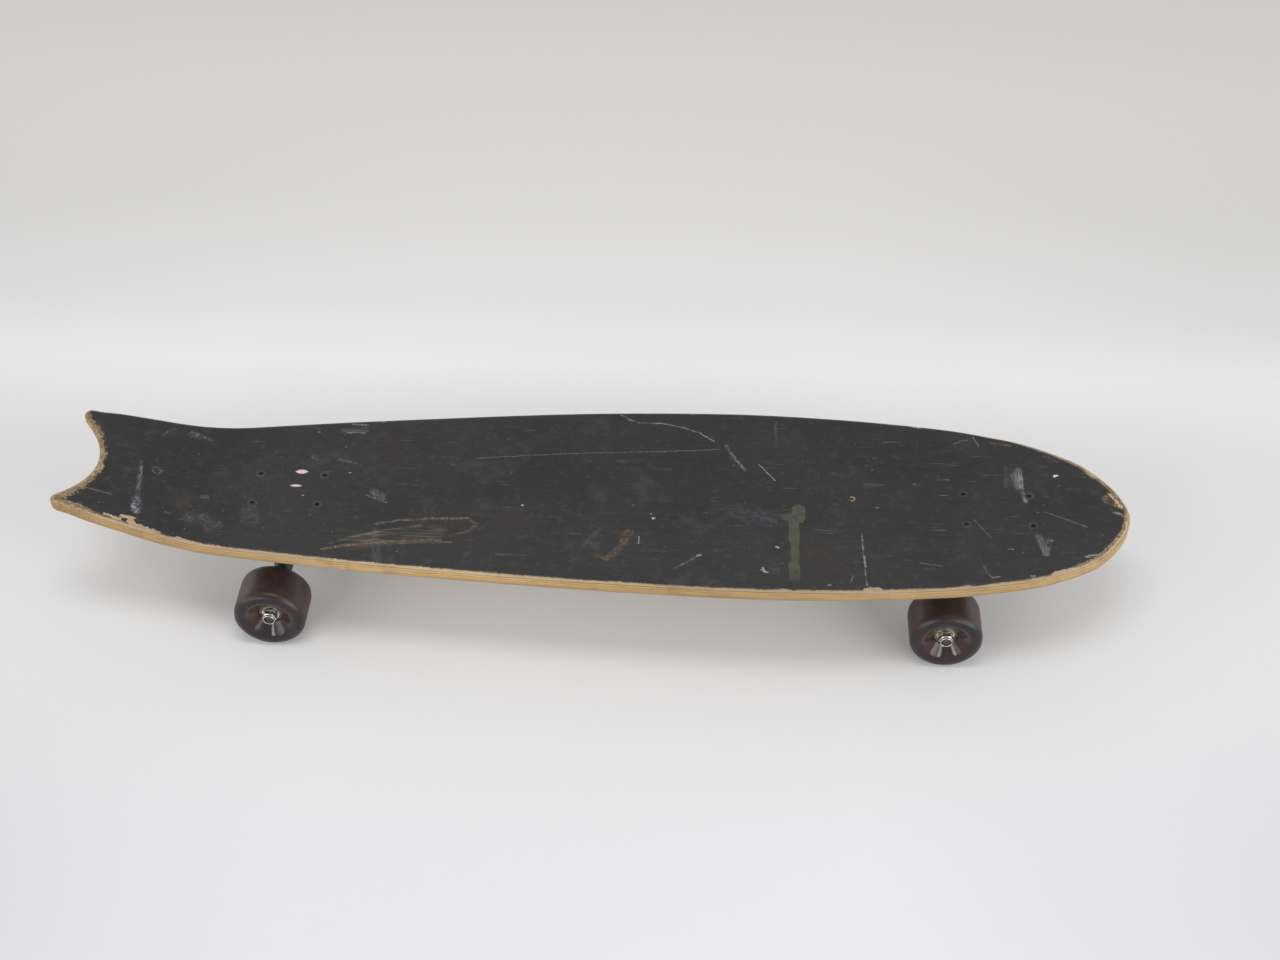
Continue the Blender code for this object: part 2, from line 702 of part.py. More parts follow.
def make_bushings(truck, finishes):
    """A barrel on the board side, a cone on the road side, and a cup washer at the end of each."""
    pin = kingpin_frame(truck)
    bore = KINGPIN_RADIUS + RUNNING_FIT
    barrel = (
        (bore, BOARD_BUSHING_END - BOARD_BUSHING),
        (BUSHING_RADIUS - BUSHING_CHAMFER, BOARD_BUSHING_END - BOARD_BUSHING),
        (BUSHING_RADIUS, BOARD_BUSHING_END - BOARD_BUSHING + BUSHING_CHAMFER),
        (BUSHING_RADIUS, BOARD_BUSHING_END - BUSHING_CHAMFER),
        (BUSHING_RADIUS - BUSHING_CHAMFER, BOARD_BUSHING_END),
        (bore, BOARD_BUSHING_END),
    )
    start = RING_HALF_THICKNESS + GAP
    cone = (
        (bore, start),
        (BUSHING_RADIUS - BUSHING_CHAMFER, start),
        (BUSHING_RADIUS, start + BUSHING_CHAMFER),
        (BUSHING_TIP_RADIUS, start + ROAD_BUSHING),
        (bore, start + ROAD_BUSHING),
    )
    wide = ring(bore, CUP_WASHER_RADIUS, BOARD_WASHER_END - CUP_WASHER, BOARD_WASHER_END, ROUND_STEPS, pin)
    narrow = ring(bore, BUSHING_TIP_RADIUS, ROAD_WASHER_START, KINGPIN_NUT_START - GAP, ROUND_STEPS, pin)
    for name, body, finish in (("board_bushing", turned(barrel, ROUND_STEPS, pin), "bushing"),
                               ("road_bushing", turned(cone, ROUND_STEPS, pin), "bushing"),
                               ("board_washer", wide, "chrome"),
                               ("road_washer", narrow, "chrome")):
        place(f"{truck.name}_{name}", body, finishes[finish], pin.translation)


def make_pivot_cup(truck, finishes):
    """The blind cup that the hanger's stem turns in."""
    steer = steer_frame(truck)
    bore = STEM_TIP_RADIUS + RUNNING_FIT
    mouth = PIVOT_REACH - HOUSING_MOUTH - CUP_LIP
    floor = PIVOT_REACH + STEM_OVERRUN + RUNNING_FIT
    cup = ((0, floor), (bore, floor), (bore, mouth), (bore + CUP_WALL, mouth),
           (bore + CUP_WALL, floor + CUP_FLOOR), (0, floor + CUP_FLOOR))
    body = turned(cup, ROUND_STEPS, steer)
    place(truck.name + "_pivot_cup", body, finishes["bushing"], steer.translation)


def make_hanger(truck, finishes, turn):
    """The cast hanger: axle barrel, kingpin ring, web and pivot stem."""
    centre = spot_at(truck, 0, AXLE_Z)
    axle_line = across_frame(centre, 1)
    half = HANGER_HALF_WIDTH
    barrel = ((0, -half), (HANGER_END_RADIUS, -half), (HANGER_END_RADIUS, -HANGER_TAPER_END),
              (HANGER_MIDDLE_RADIUS, -HANGER_MIDDLE_HALF), (HANGER_MIDDLE_RADIUS, HANGER_MIDDLE_HALF),
              (HANGER_END_RADIUS, HANGER_TAPER_END), (HANGER_END_RADIUS, half), (0, half))
    hanger = place(truck.name + "_hanger", turned(barrel, ROUND_STEPS, axle_line), finishes["black_metal"],
                   centre, turn)
    pin = kingpin_frame(truck)
    steer = steer_frame(truck)
    disc = chamfered(RING_RADIUS, RING_HALF_THICKNESS, RING_CHAMFER)
    tip = PIVOT_REACH + STEM_OVERRUN
    stem = ((0, STEM_START), (STEM_ROOT_RADIUS, STEM_START),
            (STEM_TIP_RADIUS, PIVOT_REACH - HOUSING_MOUTH - CUP_LIP - GAP),
            (STEM_TIP_RADIUS, tip - STEM_TIP_CHAMFER), (STEM_TIP_RADIUS - STEM_TIP_CHAMFER, tip), (0, tip))
    shape_with(hanger, helper(truck.name + "_ring", turned(disc, FINE_STEPS, pin)), "UNION")
    shape_with(hanger, helper(truck.name + "_web", web_body(truck)), "UNION")
    shape_with(hanger, helper(truck.name + "_stem", turned(stem, ROUND_STEPS, steer)), "UNION")
    axle_bore = rod(SHAFT_BORE, -half - GAP, half + GAP, SMALL_STEPS, axle_line)
    ring_bore = rod(RING_BORE, -RING_RADIUS, RING_RADIUS, ROUND_STEPS, pin)
    shape_with(hanger, helper(truck.name + "_axle_bore", axle_bore), "DIFFERENCE")
    shape_with(hanger, helper(truck.name + "_ring_bore", ring_bore), "DIFFERENCE")


def web_body(truck):
    """The web that ties the axle barrel to the ring and the pivot stem."""
    root = STEM_START + STEM_ROOT_RADIUS / 2
    stem_u = RING_INBOARD - root * math.cos(STEER_ANGLE)
    stem_z = RING_Z + root * math.sin(STEER_ANGLE)
    ring_u = RING_INBOARD - RING_RADIUS * math.cos(KINGPIN_LEAN)
    ring_z = RING_Z - RING_RADIUS * math.sin(KINGPIN_LEAN)
    low = HANGER_MIDDLE_RADIUS * math.sin(math.pi / 4)
    corners = (
        (-low, AXLE_Z + low / 2), (stem_u - STEM_ROOT_RADIUS / 2, stem_z - STEM_ROOT_RADIUS / 2),
        (stem_u + STEM_ROOT_RADIUS / 2, stem_z + STEM_ROOT_RADIUS / 2),
        (ring_u, ring_z + RING_HALF_THICKNESS * 2), (ring_u + RING_HALF_THICKNESS, ring_z),
        (low, AXLE_Z + low / 2),
    )
    outline = [spot_at(truck, u, z, -WEB_HALF_WIDTH) for u, z in corners]
    return prism(outline, Vector((0, 2 * WEB_HALF_WIDTH, 0)))


def make_axle(truck, finishes, turn):
    """The steel axle through the hanger, with its lock nuts."""
    centre = spot_at(truck, 0, AXLE_Z)
    axle = turned(chamfered(AXLE_RADIUS, AXLE_HALF, AXLE_CHAMFER), SMALL_STEPS, across_frame(centre, 1))
    place(truck.name + "_axle", axle, finishes["steel"], centre, turn)


def wheel_frames(truck):
    """Side name, and the frame in the middle of each wheel of a truck."""
    for side_name, side in SIDES:
        yield side_name, across_frame(spot_at(truck, 0, AXLE_Z, side * WHEEL_Y), side)


def make_axle_stack(name, frame, finishes, turn):
    """What stays still in a wheel: a lock nut, and the sleeve of inner races, spacer and speed rings."""
    half = [(SHAFT_BORE, SPEED_RING_END), (SPEED_RING_RADIUS, SPEED_RING_END),
            (SPEED_RING_RADIUS, SPEED_RING_START), (INNER_RACE_RADIUS, SPEED_RING_START)]
    sleeve = half + [(radius, -height) for radius, height in reversed(half)]
    place(name + "_bearing_sleeve", turned(sleeve, SMALL_STEPS, frame), finishes["steel"],
          frame.translation, turn)
    nut = lock_nut(SHAFT_BORE, AXLE_NUT_RADIUS, AXLE_NUT_START, AXLE_NUT_START + AXLE_NUT, frame)
    place(name + "_axle_nut", nut, finishes["chrome"], frame.translation, turn)


# Wheels

def tyre_profile():
    """The urethane's section: bearing seats inside, conical dishes in both faces, round lips."""
    half = TYRE_WIDTH / 2
    seat = BEARING_RADIUS + RUNNING_FIT
    shoulder = SPACER_LENGTH / 2
    rim = BEARING_END + CORE_RECESS
    lip = []
    for k in range(TYRE_LIP_STEPS + 1):
        angle = math.pi / 2 * (1 - k / TYRE_LIP_STEPS)
        lip.append((TYRE_RADIUS - TYRE_LIP_RADIUS * (1 - math.cos(angle)),
                    half - TYRE_LIP_RADIUS * (1 - math.sin(angle))))
    outer_half = [(CORE_BORE, shoulder), (seat, shoulder), (seat, rim), (TYRE_DISH_RADIUS, half), *lip]
    inner_half = [(radius, -height) for radius, height in reversed(outer_half)]
    return outer_half + inner_half


def bearing_profile(side):
    """An outer race with its shield, on one side of the wheel's middle."""
    face = BEARING_END - SHIELD_RECESS
    lip = INNER_RACE_RADIUS + RUNNING_FIT
    points = ((OUTER_RACE_BORE, BEARING_START), (BEARING_RADIUS, BEARING_START),
              (BEARING_RADIUS, BEARING_END), (OUTER_RACE_BORE, BEARING_END), (OUTER_RACE_BORE, face),
              (lip, face), (lip, face - SHIELD_THICKNESS), (OUTER_RACE_BORE, face - SHIELD_THICKNESS))
    return [(radius, side * height) for radius, height in points]


def make_wheel(name, frame, finishes, turn):
    """A wheel with the outer races and shields of its two bearings."""
    centre = frame.translation
    flat_down = frame @ Matrix.Rotation(math.pi / TYRE_FACETS, 4, "Z")
    tyre = turned(tyre_profile(), TYRE_FACETS, flat_down)
    place(name + "_wheel", tyre, finishes["urethane"], centre, turn)
    for place_name, side in (("outboard", 1), ("inboard", -1)):
        bearing = turned(bearing_profile(side), ROUND_STEPS, frame)
        place(name + "_" + place_name + "_bearing", bearing, finishes["steel"], centre, turn)


def make_truck(truck, finishes):
    """One truck with its wheels."""
    make_riser(truck, finishes)
    make_baseplate(truck, finishes)
    make_deck_fasteners(truck, finishes)
    make_kingpin(truck, finishes)
    make_bushings(truck, finishes)
    make_pivot_cup(truck, finishes)
    turn = empty(truck.name + "_truck_turn", kingpin_frame(truck).translation)
    make_hanger(truck, finishes, turn)
    make_axle(truck, finishes, turn)
    for side_name, frame in wheel_frames(truck):
        name = truck.name + "_" + side_name
        make_axle_stack(name, frame, finishes, turn)
        make_wheel(name, frame, finishes, turn)


def main():
    """Builds the board."""
    clear_scene()
    finishes = materials()
    make_deck(finishes)
    for truck in TRUCKS:
        make_truck(truck, finishes)


main()
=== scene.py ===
"""Looks of a longboard skateboard: a fishtail deck on two kingpin trucks with four wheels.

Metres, in the frame of the CAD model: +X to the nose, +Y to the rider's left and +Z up.
"""
import json
import math
from collections import namedtuple

import bmesh
import bpy
import numpy as np
from mathutils import Matrix, Vector

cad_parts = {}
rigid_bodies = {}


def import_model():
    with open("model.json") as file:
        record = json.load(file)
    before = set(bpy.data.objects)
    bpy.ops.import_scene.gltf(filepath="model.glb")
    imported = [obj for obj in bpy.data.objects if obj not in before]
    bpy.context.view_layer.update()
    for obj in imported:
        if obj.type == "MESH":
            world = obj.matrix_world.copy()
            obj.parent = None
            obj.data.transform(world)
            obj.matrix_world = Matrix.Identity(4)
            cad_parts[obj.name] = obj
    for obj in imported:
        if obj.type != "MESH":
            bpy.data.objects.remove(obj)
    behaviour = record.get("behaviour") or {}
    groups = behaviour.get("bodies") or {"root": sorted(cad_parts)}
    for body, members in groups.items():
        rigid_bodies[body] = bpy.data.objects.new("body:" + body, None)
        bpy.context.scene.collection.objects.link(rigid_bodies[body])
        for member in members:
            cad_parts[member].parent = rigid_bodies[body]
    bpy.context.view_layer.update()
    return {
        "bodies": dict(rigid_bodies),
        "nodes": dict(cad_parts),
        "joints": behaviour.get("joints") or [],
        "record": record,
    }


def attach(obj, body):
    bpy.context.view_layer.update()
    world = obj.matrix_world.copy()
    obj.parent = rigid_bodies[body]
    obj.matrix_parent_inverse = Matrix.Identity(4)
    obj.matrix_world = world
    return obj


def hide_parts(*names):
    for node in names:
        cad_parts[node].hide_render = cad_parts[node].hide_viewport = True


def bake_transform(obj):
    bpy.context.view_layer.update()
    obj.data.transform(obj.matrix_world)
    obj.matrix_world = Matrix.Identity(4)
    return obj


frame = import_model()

RECORD = frame["record"]
BODY_OF = {node: body for body, nodes in RECORD["behaviour"]["bodies"].items() for node in nodes}

# Sizes that the CAD model also has
GAP = 0.0003
RUNNING_FIT = 0.0003
DECK_LENGTH = 1.027
DECK_HALF_WIDTH = 0.1248
DECK_THICKNESS = 0.012
DECK_EDGE_RADIUS = 0.004
DECK_CONCAVE_HEIGHT = 0.0048
DECK_CAMBER_HEIGHT = 0.0015
DECK_SIDE = (
    (0.0351, 0.582), (0.0935, 0.638), (0.1714, 0.718), (0.2493, 0.792), (0.3272, 0.854),
    (0.4051, 0.909), (0.4830, 0.955), (0.5609, 0.985), (0.6436, 1.000), (0.7167, 0.983),
    (0.7751, 0.950), (0.8335, 0.897), (0.8724, 0.836), (0.9114, 0.753), (0.9503, 0.603),
)
DECK_NOSE = ((0.9698, 0.481), (0.9859, 0.320), (0.9951, 0.176), (1.0, 0.0))
KICK_START = 0.161
KICK_BEND = 0.073
KICK_SLOPE = 0.303
TAIL_NOTCH_DEPTH = 0.027
TAIL_HALF_WIDTH = 0.068
TAIL_TIP_RADIUS = 0.008
FRONT_BOLTS_FROM_NOSE = 0.1262
REAR_BOLTS_FROM_TAIL = 0.2112
FRONT_AXLE_INBOARD = 0.0496
REAR_AXLE_INBOARD = -0.0082
BOLT_SPACING_LONG = 0.0635
BOLT_SPACING_ACROSS = 0.0413
TRUCK_HEIGHT = 0.0526
RISER_THICKNESS = 0.006
PLATE_THICKNESS = 0.006
PLATE_HALF_WIDTH = 0.0285
PLATE_CORNER_RADIUS = 0.008
PLATE_MARGIN = 0.010
HANGER_HALF_WIDTH = 0.075
HANGER_END_RADIUS = 0.0085
HANGER_MIDDLE_RADIUS = 0.011
HANGER_MIDDLE_HALF = 0.016
HANGER_TAPER_END = 0.045
KINGPIN_LEAN = math.radians(22.0)
STEER_ANGLE = math.radians(24.7)
RING_INBOARD = 0.020
RING_RADIUS = 0.016
RING_HALF_THICKNESS = 0.004
RING_BORE = 0.0075
BUSHING_RADIUS = 0.0115
BUSHING_TIP_RADIUS = 0.0085
BOARD_BUSHING = 0.012
ROAD_BUSHING = 0.011
CUP_WASHER = 0.0015
CUP_WASHER_RADIUS = 0.012
KINGPIN_RADIUS = 0.00476
KINGPIN_HEAD_RADIUS = 0.008
KINGPIN_HEAD = 0.005
KINGPIN_HEAD_DEPTH = 0.009
KINGPIN_HEAD_COVER = 0.0047
KINGPIN_NUT = 0.0075
KINGPIN_NUT_RADIUS = 0.0082
KINGPIN_TIP = 0.0015
BOSS_RADIUS = 0.0125
WEB_HALF_WIDTH = 0.009
PIVOT_REACH = 0.048
STEM_START = 0.029
STEM_ROOT_RADIUS = 0.0065
STEM_TIP_RADIUS = 0.0057
STEM_OVERRUN = 0.002
CUP_WALL = 0.0027
CUP_LIP = 0.001
CUP_FLOOR = 0.0015
HOUSING_RADIUS = 0.012
HOUSING_FOOT_HALF = 0.0075
HOUSING_FOOT_BACK = 0.0095
HOUSING_FOOT_FRONT = 0.0055
HOUSING_MOUTH = 0.006
HOUSING_DEPTH = 0.008
AXLE_Z = 0.034452
TYRE_WIDTH = 0.0452
TYRE_LIP_RADIUS = 0.0066
TYRE_DISH_RADIUS = 0.023
CORE_BORE = 0.0085
CORE_RECESS = 0.0006
BEARING_WIDTH = 0.007
BEARING_RADIUS = 0.011
OUTER_RACE_WALL = 0.0012
INNER_RACE_WALL = 0.0011
SHIELD_THICKNESS = 0.0005
SHIELD_RECESS = 0.0003
SPACER_LENGTH = 0.010
SPEED_RING = 0.0008
SPEED_RING_RADIUS = 0.0065
AXLE_RADIUS = 0.004
AXLE_NUT = 0.0075
AXLE_NUT_RADIUS = 0.00733
AXLE_END_INSET = 0.0011
BOLT_RADIUS = 0.0024
BOLT_HEAD_RADIUS = 0.0045
BOLT_HEAD = 0.0022
BOLT_PROUD = 0.0015
DECK_NUT = 0.005
DECK_NUT_RADIUS = 0.0055

PLATE_TOP = AXLE_Z + TRUCK_HEIGHT
PLATE_BOTTOM = PLATE_TOP - PLATE_THICKNESS
RISER_BOTTOM = PLATE_TOP + GAP
RISER_TOP = RISER_BOTTOM + RISER_THICKNESS
DECK_TOP = RISER_TOP + GAP + DECK_THICKNESS
NOSE_X = DECK_LENGTH / 2
TAIL_X = -DECK_LENGTH / 2
FRONT_BOLTS_X = NOSE_X - FRONT_BOLTS_FROM_NOSE
REAR_BOLTS_X = TAIL_X + REAR_BOLTS_FROM_TAIL
BOARD_BUSHING_END = -RING_HALF_THICKNESS - GAP
BOARD_WASHER_END = BOARD_BUSHING_END - BOARD_BUSHING - GAP
SEAT = BOARD_WASHER_END - CUP_WASHER - GAP
ROAD_WASHER_START = RING_HALF_THICKNESS + GAP + ROAD_BUSHING + GAP
KINGPIN_NUT_START = ROAD_WASHER_START + CUP_WASHER + GAP
KINGPIN_END = KINGPIN_NUT_START + KINGPIN_NUT + KINGPIN_TIP
HEAD_FLOOR = SEAT - KINGPIN_HEAD_DEPTH
HEAD_TOP = HEAD_FLOOR - GAP - KINGPIN_HEAD
RING_Z = PLATE_TOP - KINGPIN_HEAD_COVER + HEAD_TOP * math.cos(KINGPIN_LEAN)
BEARING_START = SPACER_LENGTH / 2 + GAP
BEARING_END = BEARING_START + BEARING_WIDTH
SPEED_RING_START = BEARING_END + GAP
SPEED_RING_END = SPEED_RING_START + SPEED_RING
AXLE_NUT_START = SPEED_RING_END + GAP
WHEEL_Y = HANGER_HALF_WIDTH + AXLE_NUT_START
AXLE_HALF = WHEEL_Y + AXLE_NUT_START + AXLE_NUT - AXLE_END_INSET
SHAFT_BORE = AXLE_RADIUS + RUNNING_FIT
INNER_RACE_RADIUS = SHAFT_BORE + INNER_RACE_WALL
OUTER_RACE_BORE = BEARING_RADIUS - OUTER_RACE_WALL

Truck = namedtuple("Truck", "name inboard bolts_x axle_x")
TRUCKS = (
    Truck("front", -1, FRONT_BOLTS_X, FRONT_BOLTS_X - FRONT_AXLE_INBOARD),
    Truck("rear", 1, REAR_BOLTS_X, REAR_BOLTS_X + REAR_AXLE_INBOARD),
)
SIDES = (("left", 1), ("right", -1))

# Fineness of the visible meshes
SPAN_STEPS = 24
NOTCH_STEPS = 18
TIP_INNER_STEPS = 6
TIP_OUTER_STEPS = 8
SIDE_STEPS = 170
NOSE_STEPS = 24
EDGE_STEPS = 6
FILLET_STEPS = 3
SMALL_STEPS = 24
ROUND_STEPS = 48
WHEEL_STEPS = 96
CAST_VOXEL = 0.0007
CAST_SMOOTHING = 6
SHARP_ANGLE = math.radians(32)
WHEEL_SECTION_STEP = 0.002

# Details that only the visible model has
DISH_FILLET = 0.0070
BUSHING_FLARE = 0.0008
SOCKET_RADIUS = 0.0018
SOCKET_DEPTH = 0.0015
THREAD_PITCH = 0.001
AXLE_THREAD_PITCH = 0.0009
NYLON_DEPTH = 0.0009
TRIM_HALF = 0.1

# A thread's depth as a share of its pitch, and a lock nut's form as shares of its height and width
THREAD_DEPTH = 0.4
NUT_SHOULDER = 0.66
NUT_COLLAR_START = 0.74
NUT_COLLAR = 0.92
NUT_LIP = 0.62

# The stage, and the camera that took the photograph, as solved from it
FLOOR_HALF = 8.0
CAMERA_PLACE = (0.11675, -1.26875, 1.32359)
CAMERA_YAW = math.radians(-3.357)
CAMERA_PITCH = math.radians(43.179)
CAMERA_ROLL = math.radians(-0.6045)
CAMERA_LENS = 50.98
SENSOR_WIDTH = 36.0


# Materials

def srgb(red, green, blue):
    """A colour given in 0 to 255 display values, as linear light."""
    linear = [c / 12.92 if c <= 0.04045 else ((c + 0.055) / 1.055) ** 2.4
              for c in (red / 255, green / 255, blue / 255)]
    return (*linear, 1.0)


class Nodes:
    """A node tree to which short calls add nodes."""

    def __init__(self, tree):
        self.tree = tree

    def put(self, socket, value):
        """Links a socket, or sets it if the value is a constant."""
        if isinstance(value, bpy.types.NodeSocket):
            self.tree.links.new(value, socket)
        else:
            socket.default_value = value

    def node(self, kind, values=(), **settings):
        """A node with its first inputs filled in order."""
        made = self.tree.nodes.new(kind)
        for key, value in settings.items():
            setattr(made, key, value)
        for socket, value in zip(made.inputs, values):
            self.put(socket, value)
        return made

    def math(self, operation, *values):
        return self.node("ShaderNodeMath", values, operation=operation).outputs[0]

    def vector_math(self, operation, *values):
        made = self.node("ShaderNodeVectorMath", values, operation=operation)
        is_number = operation in ("DOT_PRODUCT", "LENGTH", "DISTANCE")
        return made.outputs["Value" if is_number else "Vector"]

    def split(self, vector):
        return self.node("ShaderNodeSeparateXYZ", (vector,)).outputs

    def step(self, value, low, high, start=0.0, end=1.0):
        """A smooth step from start to end while the value goes from low to high."""
        return self.node("ShaderNodeMapRange", (value, low, high, start, end),
                         interpolation_type="SMOOTHSTEP", clamp=False).outputs[0]

    def line(self, value, low, high, start=0.0, end=1.0):
        """The same in a straight line, clamped."""
        return self.node("ShaderNodeMapRange", (value, low, high, start, end)).outputs[0]


class Look(Nodes):
    """A Principled material."""

    def __init__(self, name, roughness=0.5, metallic=0.0, specular=0.5):
        self.material = bpy.data.materials.new(name)
        self.material.use_nodes = True
        super().__init__(self.material.node_tree)
        self.shader = self.tree.nodes["Principled BSDF"]
        self.shader.inputs["Roughness"].default_value = roughness
        self.shader.inputs["Metallic"].default_value = metallic
        self.shader.inputs["Specular IOR Level"].default_value = specular

    def place(self):
        """The point on the piece, in metres, which moves with it."""
        return self.node("ShaderNodeTexCoord").outputs["Object"]

    def attribute(self, name):
        return self.node("ShaderNodeAttribute", attribute_name=name).outputs["Fac"]

    def noise(self, vector, scale, detail=3.0, rough=0.55, stretch=(1, 1, 1), turn=0.0, shift=0.0):
        """Noise in 0 to 1, with its features stretched along the axes."""
        place = (shift, shift * 0.7, shift * 1.3)
        mapping = self.node("ShaderNodeMapping", (vector, place, (0, 0, turn), stretch))
        made = self.node("ShaderNodeTexNoise")
        self.put(made.inputs["Vector"], mapping.outputs[0])
        for key, value in (("Scale", scale), ("Detail", detail), ("Roughness", rough)):
            made.inputs[key].default_value = value
        return made.outputs["Fac"]

    def ramp(self, value, stops):
        """Colours at places from 0 to 1."""
        made = self.node("ShaderNodeValToRGB")
        points = made.color_ramp.elements
        while len(points) < len(stops):
            points.new(1.0)
        for point, (place, colour) in zip(points, stops):
            point.position = place
            point.color = colour
        self.put(made.inputs[0], value)
        return made.outputs[0]

    def mix(self, share, first, second, blend="MIX"):
        made = self.node("ShaderNodeMix", data_type="RGBA", blend_type=blend, clamp_factor=True)
        self.put(made.inputs["Factor"], share)
        self.put(made.inputs[6], first)
        self.put(made.inputs[7], second)
        return made.outputs[2]

    def bump(self, height, depth, strength=1.0, normal=None):
        """A bump whose height of 0 to 1 is a depth in metres."""
        made = self.node("ShaderNodeBump")
        made.inputs["Strength"].default_value = strength
        made.inputs["Distance"].default_value = depth
        self.put(made.inputs["Height"], height)
        if normal:
            self.put(made.inputs["Normal"], normal)
        return made.outputs[0]

    def finish(self, colour=None, roughness=None, normal=None):
        """Links what is given to the shader, and returns the material."""
        for key, value in (("Base Color", colour), ("Roughness", roughness), ("Normal", normal)):
            if value is not None:
                self.put(self.shader.inputs[key], value)
        return self.material


def stroke_group():
    """Nodes that give 1 on a straight stroke between two points and 0 away from it."""
    tree = bpy.data.node_groups.new("stroke", "ShaderNodeTree")
    for name, kind in (("Point", "Vector"), ("Start", "Vector"), ("End", "Vector"),
                       ("Width", "Float"), ("Softness", "Float")):
        tree.interface.new_socket(name, in_out="INPUT", socket_type="NodeSocket" + kind)
    tree.interface.new_socket("Mask", in_out="OUTPUT", socket_type="NodeSocketFloat")
    nodes = Nodes(tree)
    point, start, end, width, softness = nodes.node("NodeGroupInput").outputs[:5]
    away = nodes.vector_math("SUBTRACT", point, start)
    along = nodes.vector_math("SUBTRACT", end, start)
    share = nodes.math("DIVIDE", nodes.vector_math("DOT_PRODUCT", away, along),
                       nodes.vector_math("DOT_PRODUCT", along, along))
    share = nodes.math("MAXIMUM", nodes.math("MINIMUM", share, 1.0), 0.0)
    # SCALE takes a number as it is. A conversion in each stroke would overfill the renderer's stack
    nearest = nodes.node("ShaderNodeVectorMath", (along,), operation="SCALE")
    nodes.put(nearest.inputs["Scale"], share)
    gap = nodes.vector_math("LENGTH", nodes.vector_math("SUBTRACT", away, nearest.outputs[0]))
    mask = nodes.step(gap, width, nodes.math("ADD", width, softness), 1.0, 0.0)
    nodes.node("NodeGroupOutput", (mask,))
    return tree


